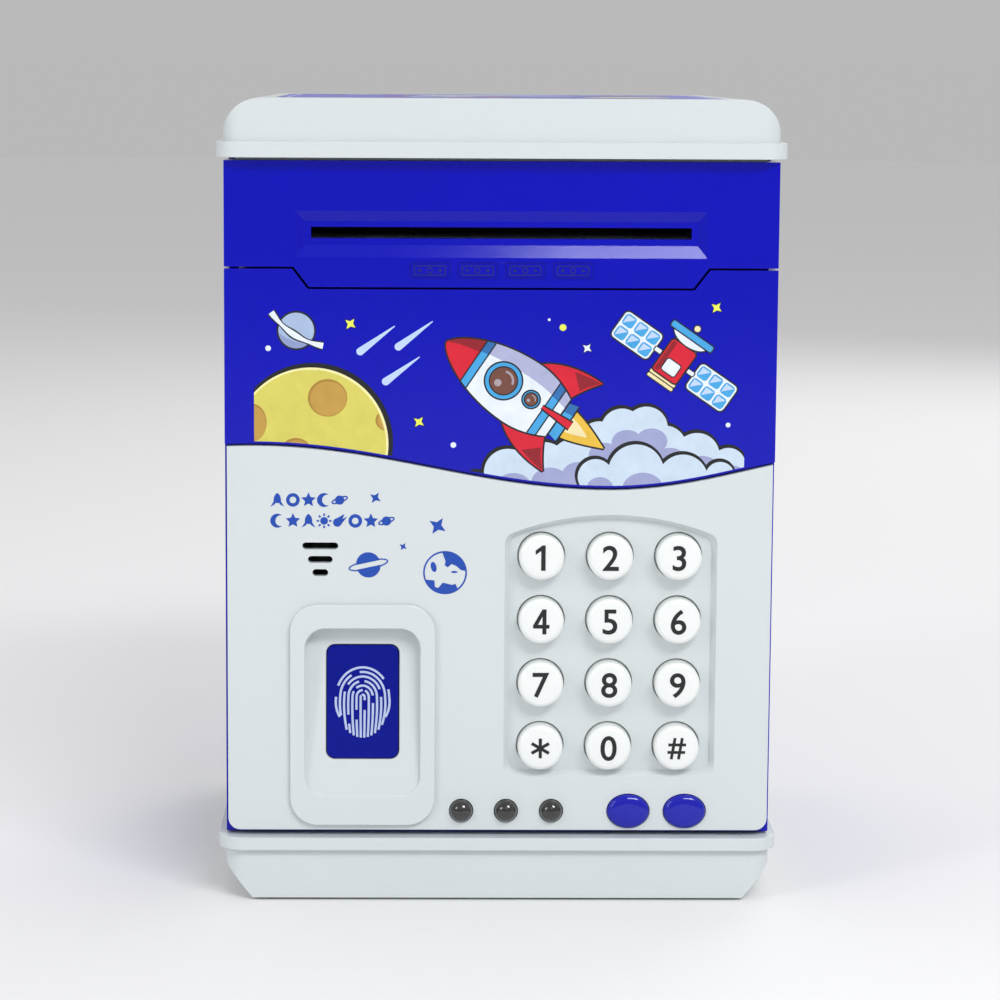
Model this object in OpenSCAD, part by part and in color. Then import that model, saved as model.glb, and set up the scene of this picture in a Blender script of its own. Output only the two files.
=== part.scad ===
// Toy cash-machine money box: a boxed safe with a keypad door, a powered note slot and a coin slot.
// Millimetres. +X is to the right, +Y to the back, +Z up. The origin is at the middle of the footprint,
// on the surface that the feet stand on. The front faces -Y.

/* [Body] */
// Width of the coloured body
body_w = 136; // [134:1:138]
// Y of the blue front faces
face_y = -59.5; // [-59.8:0.1:-59.2]
// Y of the body's back face
back_y = 61; // [60:0.5:61]
// Wall thickness of the mouldings
wall = 2.2; // [2:0.1:2.4]
// Width of the rims of the base and the cap
rim_w = 140; // [139:1:141]
// Depth of the rims of the base and the cap
rim_d = 126; // [126:1:128]

/* [Door] */
// Height of the door's shoulders
door_top = 158.35; // [157:0.05:159]
// How far the door's top edge dips in the middle
door_dip = 4.95; // [4:0.05:5.5]
// Gap between the door and the note fascia
door_gap = 0.5; // [0.4:0.1:0.8]
// Middle height of the wave between blue and white
wave_z = 109.3; // [108:0.1:110]
// Half of the wave's height
wave_a = 5.4; // [4:0.1:6]

/* [Keypad] */
// Radius of a key
key_r = 5.65; // [5.4:0.05:5.7]
// Spacing of the keys from left to right
key_dx = 17; // [16.5:0.1:17.2]
// Spacing of the keys from top to bottom
key_dz = 16; // [15.5:0.1:16.2]

/* [Slots] */
// Width of the banknote slot
note_w = 93.4; // [80:0.2:94]
// Height of the banknote slot
note_h = 2.8; // [2.2:0.1:3]
// Width of the coin slot
coin_w = 34; // [30:1:36]
// Thickness of coin that the coin slot takes
coin_t = 4.4; // [4.2:0.1:4.8]

/* [Hidden] */
$fn = 48;

// Heights
foot_h = 0.6;                 // how far the feet hold the base off the table
base_top = 16.4;
base_rim_z = 13.2;
body_top = 185.2;
cap_z0 = 185.6;
cap_rim_top = 189.4;
cap_top = 200;
door_z0 = 17;
panel_z0 = 17.9;

// Depths of the door's layers, measured from the front
half_w = body_w / 2;
panel_y = face_y - 1;         // white panel's front
panel_t = 2.5;
tub_y = panel_y + panel_t + 0.1;   // front of the blue tub behind the white panel
door_back = -40.5;
shell_y = -40;                // front edge of the body shell
inner_w = half_w - wall;

// Hinge
hinge_r = 4.2;
hinge_x = -half_w + hinge_r;
hinge_y = door_back - hinge_r;
pin_r = 1.5;
run = 0.06;                   // running clearance on a radius

// Keypad
pad_x = 27.4;                 // middle column
pad_z = 87.3;                 // top row
key_hole_r = 6;
key_flange_r = 6.8;
pocket_d = 2;
pocket_floor = 1.6;
key_front = 62.8;             // forward of the origin
KEY_NAMES = ["key_1", "key_2", "key_3", "key_4", "key_5", "key_6", "key_7", "key_8", "key_9",
    "key_star", "key_0", "key_hash"];
pcb_front = 51.2;             // forward of the origin
pcb_t = 1.6;
post_x = [pad_x - key_dx / 2, pad_x + key_dx / 2];
post_z = [pad_z - key_dz / 2, pad_z - 2.5 * key_dz];

// Keypad pocket outline: straight sides, round corners and an arched top
kp_x0 = 1.3;
kp_x1 = 54;
kp_z0 = 31.6;
kp_top = 97.8;
kp_arch_r = 68.1;
kp_corner = 3;

// Row of lamps and oval buttons
lamp_z = 22.8;
lamp_x = [-9.2, 2, 13.3];
lamp_r = 2.95;
lamp_dome = 59.9;             // centre of a lamp's dome, forward of the origin
oval_x = [32.6, 46.7];
oval_w = 10.5;
oval_h = 8.5;

// Speaker slots: width, then height above the row's zero
speaker_x = -44.4;
speaker_z = 86.4;
speaker_slots = [[8.9, 3.4], [6.1, 0], [3.9, -3.3]];
slot_t = 1.75;

// Fingerprint module, whose floor leans back towards its top
fp_x = -33.9;
fp_z = 47.2;
fp_w = 36.2;
fp_h = 56;
fp_front = panel_y - 1.2;
fp_lean = 5;
fp_floor_y = -60.95;          // floor at the recess's bottom edge
fp_floor_z = 26.8;
fp_recess = [28.6, 42.1];
fp_pad = [17.8, 28.3];
fp_pad_at = 23.5;             // middle of the pad, up the floor

// Banknote slot and feeder
note_z = 167.2;
feed_y = -30;
feed_r = 7;
idler_r = 5;
nip = 0.3;                    // gap between the rollers at rest
feed_z = note_z - nip / 2 - feed_r;
idler_z = note_z + nip / 2 + idler_r;
frame_x = 54;                 // inner face of the feeder's side plates
frame_t = 3;
frame_z0 = 141.5;
frame_y0 = -38;
frame_y1 = 2;
frame_top = 178.6;
layer_a = 57.5;               // first gear layer
layer_b = 61;                 // second gear layer
gear_w = 3;

// Gears: module and numbers of teeth
gear_m = 0.6;
roller_teeth = 30;
small_teeth = 12;
big_teeth = 36;
pinion_teeth = 10;
mesh_gap = 0.06;              // extra centre distance
reducer_angle = 17.7;         // direction from the roller's axis to the reduction gear's
motor_angle = -60;            // direction from the reduction gear's axis to the motor's
reducer_d = gear_m * (roller_teeth + small_teeth) / 2 + mesh_gap;
motor_d = gear_m * (big_teeth + pinion_teeth) / 2 + mesh_gap;
reducer_y = feed_y + reducer_d * cos(reducer_angle);
reducer_z = feed_z + reducer_d * sin(reducer_angle);
motor_y = reducer_y + motor_d * cos(motor_angle);
motor_z = reducer_z + motor_d * sin(motor_angle);

// Door latch: a rack on the bolt and a pinion below it
rack_m = 0.8;
latch_teeth = 10;
latch_x = 49;
latch_z = 113.5;
bolt_y0 = -48;
bolt_y1 = -44.8;
hook_z0 = 121;
hook_z1 = 129;

// Battery bay in the back wall
bay_w = 62;
bay_h = 52;
bay_z = 58;
cell_r = 7.15;
cell_l = 49.5;
cell_pitch = 15.2;
bay_y0 = 42.6;

// Coin slot
coin_y = 16;

// ---------- shared shapes ----------

// Extrudes a front-view outline (x, z) from y0 to y1
module slab(y0, y1) {
    translate([0, y1, 0]) rotate([90, 0, 0]) linear_extrude(height = y1 - y0) children();
}

// Extrudes a side-view outline (y, z) from x0 to x1
module side_slab(x0, x1) {
    translate([x0, 0, 0]) rotate([90, 0, 90]) linear_extrude(height = x1 - x0) children();
}

// Turns a profile (radius, distance in front of the origin) about a front-to-back axis
module turned(x, z) {
    translate([x, 0, z]) rotate([90, 0, 0]) rotate_extrude() children();
}

// A cylinder along X
module bar_x(x0, x1, y, z, r) {
    translate([x0, y, z]) rotate([0, 90, 0]) cylinder(h = x1 - x0, r = r);
}

// A cylinder along Y
module bar_y(y0, y1, x, z, r) {
    translate([x, y1, z]) rotate([90, 0, 0]) cylinder(h = y1 - y0, r = r);
}

// A cylinder along Z
module bar_z(z0, z1, x, y, r) {
    translate([x, y, z0]) cylinder(h = z1 - z0, r = r);
}

// A box from its two corners
module block(a, b) {
    translate(a) cube(b - a);
}

// Rectangle with true round corners
module round_rect(w, h, r) {
    square([w - 2 * r, h], center = true);
    square([w, h - 2 * r], center = true);
    for (sx = [-1, 1], sy = [-1, 1])
        translate([sx * (w / 2 - r), sy * (h / 2 - r)]) circle(r = r);
}

// Slot outline with round ends
module round_slot(w, h) {
    square([w - h, h], center = true);
    for (s = [-1, 1]) translate([s * (w - h) / 2, 0]) circle(r = h / 2);
}

function arc(cx, cy, r, a0, a1, n) =
    [for (i = [0:n]) [cx + r * cos(a0 + (a1 - a0) * i / n), cy + r * sin(a0 + (a1 - a0) * i / n)]];

function oval(w, h, n = 40) = [for (i = [0:n - 1]) [w / 2 * cos(360 * i / n), h / 2 * sin(360 * i / n)]];

// Height of the wavy seam at x: a crest on the left, a trough right of the middle
wave_crest = -61;
wave_trough = 27;
function wave(x) = wave_z + wave_a * (x < wave_trough
    ? cos(180 * (x - wave_crest) / (wave_trough - wave_crest))
    : cos(180 + 180 * (x - wave_trough) / 72));

function wave_line(x0, x1, lift, n = 34) =
    [for (i = [0:n]) let (x = x0 + (x1 - x0) * i / n) [x, wave(x) + lift]];

// Involute gear outline with a tooth centred on the angle given
function inv(a) = tan(a) * 180 / PI - a;
function flank_angle(r, rb) = r <= rb ? 0 : inv(acos(rb / r));
function gear_points(m, n, tooth_at, add, ded, slack = 0.05) =
    let (rp = m * n / 2, rb = rp * cos(20), ra = rp + add * m, rr = rp - ded * m)
    let (half = 90 / n - slack * 90 / PI / rp + flank_angle(rp, rb))
    [for (t = [0:n - 1]) let (c = tooth_at + 360 * t / n)
        for (p = [[rr, -1], [max(rb, rr), -1], [rp, -1], [(rp + ra) / 2, -1], [ra, -1],
                [ra, 1], [(rp + ra) / 2, 1], [rp, 1], [max(rb, rr), 1], [rr, 1]])
            let (a = c + p[1] * (half - flank_angle(p[0], rb))) [p[0] * cos(a), p[0] * sin(a)]];

// A screw along Z: round head below, plain shank above
module screw_up(x, y, z, length, head_r = 2.7, shank_r = 1.4) {
    bar_z(z - 1.9, z, x, y, head_r);
    bar_z(z - 0.1, z + length, x, y, shank_r);
}

// ---------- base, body and cap ----------

case_screw_x = 55;
case_screw_y = [-27, 50];
cap_screw_x = 58;
cap_screw_y = [-14, 50];
foot_x = 44;
foot_y = 46;
chamfer_w = 6.9;
chamfer_h = 8.6;

// Front view of the base below its rim
module base_profile(inset, z_top) {
    w = half_w + 0.3 - inset;
    polygon([[-w, z_top], [-w, foot_h + chamfer_h], [-w + chamfer_w, foot_h], [w - chamfer_w, foot_h],
        [w, foot_h + chamfer_h], [w, z_top]]);
}

module base() color("white") {
    difference() {
        union() {
            intersection() {
                slab(-rim_d / 2 + 1.6, rim_d / 2 - 1.6) base_profile(0, base_rim_z);
                linear_extrude(height = base_top) round_rect(body_w + 0.6, rim_d - 3.2, 5);
            }
            translate([0, 0, base_rim_z]) linear_extrude(height = base_top - base_rim_z)
                round_rect(rim_w, rim_d, 6.5);
        }
        difference() {
            slab(-rim_d / 2 + 4, rim_d / 2 - 4) translate([0, -foot_h])
                base_profile(2.5, base_top - wall + foot_h);
            for (sx = [-1, 1], sy = [-1, 1]) bar_z(0, base_top, sx * foot_x, sy * foot_y, 7);
            bar_z(8, base_top, hinge_x, hinge_y, 4);
            for (sx = [-1, 1]) block([sx * 22 - 1, -rim_d / 2, 5], [sx * 22 + 1, rim_d / 2, base_top]);
        }
        for (sx = [-1, 1], sy = [-1, 1]) bar_z(0, foot_h + 1.4, sx * foot_x, sy * foot_y, 5.15);
        for (sx = [-1, 1], y = case_screw_y) bar_z(0, base_top + 1, sx * case_screw_x, y, 1.6);
        bar_z(10, base_top + 1, hinge_x, hinge_y, pin_r + 0.02);
    }
}

module feet() color("dimgray")
    for (sx = [-1, 1], sy = [-1, 1]) bar_z(0, foot_h + 1.4, sx * foot_x, sy * foot_y, 5);

// Plan of the body shell: square at the front, round corners at the back
module body_plan(inset) {
    w = half_w - inset;
    r = 4 - inset;
    y1 = back_y - inset;
    translate([-w, shell_y]) square([2 * w, y1 - r - shell_y]);
    translate([-w + r, shell_y]) square([2 * (w - r), y1 - shell_y]);
    for (s = [-1, 1]) translate([s * (w - r), y1 - r]) circle(r = r);
}

module body_shell() color("mediumblue") {
    z0 = base_top + 0.1;
    ledge_z = frame_z0 - 0.1;
    difference() {
        union() {
            difference() {
                translate([0, 0, z0]) linear_extrude(height = body_top - z0) body_plan(0);
                translate([0, 0, z0 - 1]) linear_extrude(height = body_top) body_plan(wall);
                block([-inner_w, shell_y - 1, z0 - 1], [inner_w, 0, body_top + 1]);
            }
            for (s = [-1, 1], y = case_screw_y) {
                bar_z(z0, 30, s * case_screw_x, y, 3.4);
                block([min(s * case_screw_x, s * (inner_w + 1)), y - 1, z0],
                    [max(s * case_screw_x, s * (inner_w + 1)), y + 1, 28]);
            }
            for (s = [-1, 1], y = cap_screw_y) {
                block([min(s * (cap_screw_x - 4), s * (inner_w + 1)), y - 4, 181.5],
                    [max(s * (cap_screw_x - 4), s * (inner_w + 1)), y + 4, 184]);
                block([min(s * (cap_screw_x + 4), s * (inner_w + 1)), y - 1, 175],
                    [max(s * (cap_screw_x + 4), s * (inner_w + 1)), y + 1, 182]);
            }
            for (s = [-1, 1])
                block([min(s * (inner_w - 4), s * (inner_w + 1)), -37, ledge_z - 2.4],
                    [max(s * (inner_w - 4), s * (inner_w + 1)), 1, ledge_z]);
        }
        for (s = [-1, 1], y = case_screw_y) bar_z(z0 - 1, 27, s * case_screw_x, y, 1.45);
        for (s = [-1, 1], y = cap_screw_y) bar_z(180, 186, s * cap_screw_x, y, 1.6);
        slab(back_y - wall - 1, back_y + 1) translate([0, bay_z]) round_rect(bay_w + 0.6, bay_h + 0.6, 2.8);
    }
}

// Front view of the cap above its rim
module cap_profile(inset) {
    w = half_w + 0.3 - inset;
    r = 9.5 - inset;
    z1 = cap_top - inset;
    translate([-w, cap_z0]) square([2 * w, z1 - r - cap_z0]);
    translate([-w + r, cap_z0]) square([2 * (w - r), z1 - cap_z0]);
    for (s = [-1, 1]) translate([s * (w - r), z1 - r]) circle(r = r);
}

label_t = 0.15;
top_label_w = 112;
top_label_d = 104;
dish_w = coin_w + 10;
dish_d = coin_t + 9;

// Lip below the cap that locates it inside the walls and closes the gap under its rim
module cap_lip() {
    w = 2 * inner_w - 1.2;
    front = -57;
    back = back_y - wall - 0.6;
    difference() {
        translate([-w / 2, front, 184.3]) cube([w, back - front, 5]);
        translate([-w / 2 + 1.5, front + 1.5, 184]) cube([w - 3, back - front - 3, 8]);
        block([-w, front - 1, 184], [w, shell_y + 0.3, fascia_z1 + 0.05]);
    }
}

module top_cap() color("white") {
    difference() {
        union() {
            difference() {
                union() {
                    intersection() {
                        slab(-rim_d / 2 + 1.6, rim_d / 2 - 1.6) cap_profile(0);
                        translate([0, 0, cap_z0]) linear_extrude(height = 20)
                            round_rect(body_w + 0.6, rim_d - 3.2, 5);
                    }
                    translate([0, 0, cap_z0]) linear_extrude(height = cap_rim_top - cap_z0)
                        round_rect(rim_w, rim_d, 6.5);
                }
                slab(-rim_d / 2 + 4, rim_d / 2 - 4) translate([0, -0.5]) cap_profile(wall);
            }
            for (s = [-1, 1], y = cap_screw_y) bar_z(184.2, cap_top - 1, s * cap_screw_x, y, 3.2);
            cap_lip();
        }
        for (s = [-1, 1], y = cap_screw_y) bar_z(184, 195, s * cap_screw_x, y, 1.45);
        translate([0, 0, cap_top - label_t]) linear_extrude(height = 1) difference() {
            round_rect(top_label_w, top_label_d, 8);
            translate([0, coin_y]) round_slot(dish_w, dish_d);
        }
        translate([0, coin_y, cap_top - 0.8]) linear_extrude(height = 2) round_slot(dish_w - 3, dish_d - 3);
        block([-coin_w / 2, coin_y - coin_t / 2, 190], [coin_w / 2, coin_y + coin_t / 2, cap_top + 1]);
    }
}

module top_label() color("royalblue")
    translate([0, 0, cap_top - label_t]) linear_extrude(height = label_t) difference() {
        round_rect(top_label_w - 0.4, top_label_d - 0.4, 7.8);
        translate([0, coin_y]) round_slot(dish_w + 0.4, dish_d + 0.4);
    }

module side_labels() color("royalblue") {
    for (x0 = [-half_w - label_t, half_w])
        side_slab(x0, x0 + label_t) translate([10, 101]) round_rect(88, 128, 6);
}

module coin_chute() color("gainsboro") {
    z1 = cap_top - wall - 0.5;
    difference() {
        union() {
            block([-coin_w / 2 - 4, coin_y - 5.6, z1 - 2], [coin_w / 2 + 4, coin_y + 5.6, z1]);
            block([-coin_w / 2 - 2.4, coin_y - 4.6, 172], [coin_w / 2 + 2.4, coin_y + 4.6, z1]);
        }
        block([-coin_w / 2 - 0.9, coin_y - 3.1, 171], [coin_w / 2 + 0.9, coin_y + 3.1, z1 + 1]);
    }
}

// ---------- note fascia ----------

fascia_z1 = 184.8;
groove_x0 = 47.5;             // half width of the dip's floor
groove_x1 = 51.3;             // half width of the dip's mouth

// The door's top edge from right to left: raised by lift, its ends drawn in by inset and its dip
// narrowed by side
function door_edge(lift, inset, side = 0) = [
    [half_w - inset, door_top + lift], [groove_x1 - side, door_top + lift],
    [groove_x0 - side, door_top - door_dip + lift], [-groove_x0 + side, door_top - door_dip + lift],
    [-groove_x1 + side, door_top + lift], [-half_w + inset, door_top + lift]];

function reversed(list) = [for (i = [len(list) - 1:-1:0]) list[i]];

// Front of the fascia, whose tongue dips into the door's top edge
module fascia_front() {
    polygon(concat([[half_w, fascia_z1], [-half_w, fascia_z1]], reversed(door_edge(door_gap, 0, 0.35))));
}

// Straight-sided block behind the front
module fascia_block(inset) {
    z0 = door_top + door_gap + inset;
    translate([-half_w + inset, z0]) square([2 * (half_w - inset), fascia_z1 - inset - z0]);
}

// Bevelled surround of the note slot: wide at the front, narrow at its floor
module slot_bevel() {
    hull() {
        slab(face_y - 1, face_y + 0.01) translate([0, 166.9]) square([101, 11.4], center = true);
        slab(face_y + 1.2, face_y + 1.3) translate([0, 167.1]) square([96.4, 5.8], center = true);
    }
}

module fascia() color("mediumblue") {
    chip_w = 10.2;
    difference() {
        union() {
            slab(face_y, face_y + wall) fascia_front();
            difference() {
                slab(face_y + wall - 0.5, shell_y - 0.3) fascia_block(0);
                slab(face_y + wall - 1, shell_y) fascia_block(wall);
            }
            slab(face_y + wall - 0.5, face_y + wall + 1.3) translate([0, note_z])
                square([104, 9], center = true);
            intersection() {
                bar_z(door_top + door_gap, 170, hinge_x, hinge_y, 4);
                block([-half_w, face_y, 150], [0, 0, 175]);
            }
            for (s = [-1, 1])
                block([min(s * (inner_w - 0.2), s * (inner_w - 2.2)), -42, 162],
                    [max(s * (inner_w - 0.2), s * (inner_w - 2.2)), -31.5, 182]);
            for (s = [-1, 1])
                block([min(s * (inner_w - 2.2), s * (inner_w + 0.5)), -43, 162],
                    [max(s * (inner_w - 2.2), s * (inner_w + 0.5)), -40.3, 182]);
        }
        slot_bevel();
        block([-note_w / 2, face_y - 1, note_z - note_h / 2], [note_w / 2, face_y + 5, note_z + note_h / 2]);
        bar_z(door_top, 167, hinge_x, hinge_y, pin_r + 0.02);
        for (i = [-1.5:1:1.5]) slab(face_y - 1, face_y + 0.3) translate([i * 11.7, 158.1]) difference() {
            round_rect(chip_w, 4.2, 0.8);
            round_rect(chip_w - 1, 3.2, 0.5);
        }
    }
}

module hinge_pins() color("silver") {
    bar_z(10.2, 27, hinge_x, hinge_y, pin_r);
    bar_z(147, 166.8, hinge_x, hinge_y, pin_r);
}

// Keeper for the latch hook on the right wall
module strike() color("silver") {
    x0 = 61.4;
    block([x0, -39, 117], [inner_w, -37, 133]);
    for (z = [117, 131]) block([x0, -37.5, z], [inner_w, -30, z + 2]);
}

// ---------- banknote feeder ----------

module feeder_frame() color("dimgray") {
    difference() {
        union() {
            block([-inner_w + 0.2, frame_y0, frame_z0], [inner_w - 0.2, frame_y1, frame_z0 + 2]);
            for (x = [-frame_x - frame_t, frame_x])
                block([x, frame_y0, frame_z0], [x + frame_t, frame_y1, frame_top]);
        }
        for (s = [-1, 1]) bar_x(s * (frame_x + 1.5) - 3, s * (frame_x + 1.5) + 3, feed_y, feed_z, 3.05);
        bar_x(frame_x - 1, frame_x + 5, reducer_y, reducer_z, pin_r + 0.02);
        bar_x(frame_x - 1, frame_x + 5, motor_y, motor_z, 3.1);
        for (s = [-1, 1]) bar_z(frame_z0 - 1, frame_z0 + 3, s * 62, -34, 1.5);
    }
}

module note_guide() color("gainsboro") {
    z1 = note_z - 1.6;
    difference() {
        union() {
            block([-51.5, -56, z1 - 1.6], [51.5, -13, z1]);
            block([-frame_x, -36, z1 - 1.6], [frame_x, -14, z1]);
            for (s = [-1, 1]) block([s * 50.75 - 0.75, -56, z1 - 1.6], [s * 50.75 + 0.75, -13, z1 + 4.5]);
            block([-51.5, -55.5, z1 + 3.3], [51.5, -37, z1 + 4.5]);
        }
        for (s = [-1, 1]) block([s * 28 - 7, -37.2, z1 - 3], [s * 28 + 7, -22.8, z1 + 1]);
    }
}

// Small gate that notices a banknote
module note_sensor() color("#202020") {
    z1 = note_z - 3.2;
    block([-6, -52, z1 - 1.2], [6, -42, z1]);
    block([-3.5, -50, z1 - 2.6], [3.5, -44, z1 - 1.2]);
}

module idler_bridge() color("gainsboro") {
    difference() {
        union() {
            block([-frame_x - frame_t, -36, frame_top], [frame_x + frame_t, -24, frame_top + 1.6]);
            for (x = [-39, 37]) block([x, -34, 169.4], [x + 2, -26, frame_top + 0.5]);
        }
        bar_x(-41, 41, feed_y, idler_z, 1.25 + run);
    }
}

module shaft_bushes() color("peru")
    for (s = [-1, 1]) difference() {
        union() {
            bar_x(min(s * frame_x, s * (frame_x + frame_t)), max(s * frame_x, s * (frame_x + frame_t)),
                feed_y, feed_z, 3);
            bar_x(min(s * frame_x, s * (frame_x - 1.2)), max(s * frame_x, s * (frame_x - 1.2)),
                feed_y, feed_z, 3.8);
        }
        bar_x(s * frame_x - 8, s * frame_x + 8, feed_y, feed_z, pin_r + run);
    }

module feed_motor() color("silver") {
    intersection() {
        bar_x(30, frame_x - 0.2, motor_y, motor_z, 10);
        block([29, motor_y - 11, motor_z - 7.5], [frame_x, motor_y + 11, motor_z + 7.5]);
    }
    bar_x(frame_x - 1, frame_x + 1, motor_y, motor_z, 3);
    bar_x(frame_x, layer_b + gear_w, motor_y, motor_z, 1);
}

module gear_stub() color("silver") bar_x(frame_x, layer_b + gear_w + 1, reducer_y, reducer_z, pin_r);

module feed_shaft() color("silver") {
    bar_x(-59.5, layer_b - 0.2, feed_y, feed_z, pin_r);
    for (s = [-1, 1]) bar_x(s * 28 - 6, s * 28 + 6, feed_y, feed_z, 3);
}

module feed_tyres() color("#303030")
    for (s = [-1, 1]) difference() {
        bar_x(s * 28 - 6, s * 28 + 6, feed_y, feed_z, feed_r);
        bar_x(s * 28 - 7, s * 28 + 7, feed_y, feed_z, 3.02);
    }

module idler_roller() color("silver") {
    bar_x(-41, 41, feed_y, idler_z, 1.25);
    for (s = [-1, 1]) bar_x(s * 28 - 6, s * 28 + 6, feed_y, idler_z, idler_r);
}

module gear(x0, y, z, m, teeth, tooth_at, add, ded) {
    translate([0, y, z]) side_slab(x0, x0 + gear_w) polygon(gear_points(m, teeth, tooth_at, add, ded));
}

module roller_gear() color("ivory") difference() {
    gear(layer_a, feed_y, feed_z, gear_m, roller_teeth, reducer_angle, 0.7, 1.1);
    bar_x(layer_a - 1, layer_b, feed_y, feed_z, pin_r + 0.02);
}

module reduction_gear() color("ivory") difference() {
    union() {
        gear(layer_a, reducer_y, reducer_z, gear_m, small_teeth,
            reducer_angle + 180 + 180 / small_teeth, 0.8, 1.1);
        bar_x(layer_a + gear_w - 0.1, layer_b + 0.1, reducer_y, reducer_z, 2.8);
        gear(layer_b, reducer_y, reducer_z, gear_m, big_teeth, motor_angle, 0.6, 1.1);
    }
    bar_x(layer_a - 1, layer_b + 5, reducer_y, reducer_z, pin_r + run);
}

module motor_pinion() color("ivory") difference() {
    gear(layer_b, motor_y, motor_z, gear_m, pinion_teeth, motor_angle + 180 + 180 / pinion_teeth, 0.8, 1.1);
    bar_x(layer_b - 1, layer_b + 5, motor_y, motor_z, 1.02);
}

// ---------- batteries ----------

bay_out = bay_h - 3;
cover_screw_z = bay_z + bay_h / 2 - 3.6;

module battery_box() color("#303030") difference() {
    union() {
        difference() {
            slab(bay_y0, back_y - wall) translate([0, bay_z]) square([bay_w - 2, bay_out], center = true);
            slab(bay_y0 + 1.6, back_y) translate([0, bay_z - 1])
                square([bay_w - 5.2, bay_out - 3], center = true);
        }
        block([-4.5, 55.8, 78.1], [4.5, back_y - wall, 83.4]);
    }
    bar_y(54, back_y, 0, cover_screw_z, 1.4 + run);
}

cell_y = bay_y0 + 1.6 + cell_r + 0.1;
module battery_contacts() color("silver")
    for (i = [-1:1], s = [-1, 1]) translate([s * (bay_w / 2 - 2.9), cell_y, bay_z - 1 + i * cell_pitch]) {
        cube([0.5, 10, 10], center = true);
        rotate([0, -s * 90, 0]) cylinder(h = 1.7, r1 = 4, r2 = 2.4);
    }

module battery_cells() color("darkgoldenrod")
    for (i = [-1:1]) {
        s = i == 0 ? -1 : 1;
        z = bay_z - 1 + i * cell_pitch;
        bar_x(-cell_l / 2, cell_l / 2, cell_y, z, cell_r);
        bar_x(min(s * 20, s * (cell_l / 2 + 0.9)), max(s * 20, s * (cell_l / 2 + 0.9)), cell_y, z, 2.75);
    }

module battery_cover() color("mediumblue") difference() {
    slab(back_y - wall + 0.1, back_y) translate([0, bay_z]) round_rect(bay_w, bay_h, 2.5);
    bar_y(back_y - 5, back_y + 1, 0, cover_screw_z, 1.6);
    bar_y(back_y - 1, back_y + 1, 0, cover_screw_z, 2.9);
    for (i = [-2:2]) slab(back_y - 0.6, back_y + 1) translate([0, bay_z - 17 + i * 2.4]) round_slot(20, 1.2);
}

module battery_screw() color("silver") {
    bar_y(back_y - 1, back_y - 0.1, 0, cover_screw_z, 2.7);
    bar_y(back_y - 5, back_y - 0.9, 0, cover_screw_z, 1.4);
}

module case_screws() color("silver") {
    for (s = [-1, 1], y = case_screw_y) screw_up(s * case_screw_x, y, base_top - wall, 12);
    for (s = [-1, 1], y = cap_screw_y) screw_up(s * cap_screw_x, y, 181.5, 12);
    for (s = [-1, 1]) {
        bar_z(frame_z0 + 2, frame_z0 + 3.6, s * 62, -34, 2.6);
        bar_z(frame_z0 + 0.1, frame_z0 + 2.1, s * 62, -34, 1.4);
    }
}

// ---------- door ----------

cover_posts = [[-55, 24], [-55, 148], [0, 147], [61.5, 146], [61.5, 24]];

relief = 1.5;                 // widens the dip behind the door's front, so that it swings past the fascia

module door_outline(inset) {
    polygon(concat([[-half_w + inset, door_z0 + inset], [half_w - inset, door_z0 + inset]],
        door_edge(-inset, inset)));
}

// Plan of the door with its hinge corner rounded about the hinge axis
module door_plan() {
    translate([-half_w, face_y - 5]) square([body_w, hinge_y - face_y + 5]);
    translate([hinge_x, hinge_y - 1]) square([half_w - hinge_x, hinge_r + 1]);
    translate([hinge_x, hinge_y]) circle(r = hinge_r);
}

module door_shell() color("mediumblue") {
    column_x = hinge_x + hinge_r + 0.2;
    column_y = hinge_y - hinge_r - 0.2;
    difference() {
        union() {
            intersection() {
                slab(tub_y, door_back) door_outline(0);
                linear_extrude(height = 200) door_plan();
            }
            slab(face_y, tub_y + 0.5) intersection() {
                door_outline(0);
                polygon(concat(wave_line(-half_w - 1, half_w + 1, 0.5),
                    [[half_w + 1, 200], [-half_w - 1, 200]]));
            }
        }
        difference() {
            slab(tub_y + 2, door_back + 1) door_outline(wall);
            block([-half_w, column_y, 0], [column_x, 0, 200]);
            for (p = cover_posts) bar_y(tub_y, door_back - 2.1, p[0], p[1], 2.6);
        }
        slab(face_y + 2, door_back + 1) translate([0, door_top])
            polygon([[0, 1], [groove_x1 + relief, 1], [groove_x1 + relief, 0],
                [groove_x0 + relief, -door_dip], [0, -door_dip]]);
        for (p = cover_posts) bar_y(-52, door_back, p[0], p[1], 1.15);
        slab(tub_y - 1, tub_y + 3) translate([27.75, 65]) square([58.5, 71], center = true);
        slab(tub_y - 1, tub_y + 3) translate([fp_x, fp_z + 0.8]) square([32, 46.4], center = true);
        bar_y(tub_y - 1, tub_y + 3, speaker_x, speaker_z, 9);
        for (x = lamp_x) bar_y(tub_y - 1, tub_y + 3, x, lamp_z, 3.5);
        for (x = oval_x) slab(tub_y - 1, tub_y + 4.5) translate([x, lamp_z]) polygon(oval(13.3, 10.3));
        for (z = [[door_z0 - 1, 27.5], [146.5, door_top + 1]])
            bar_z(z[0], z[1], hinge_x, hinge_y, pin_r + run);
    }
}

module panel_outline(inset) {
    x = half_w - 0.6 - inset;
    z = panel_z0 + inset;
    r = 3;
    polygon(concat(arc(-x + r, z + r, r, 180, 270, 8), arc(x - r, z + r, r, 270, 360, 8),
        reversed(wave_line(-x, x, -inset))));
}

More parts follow.
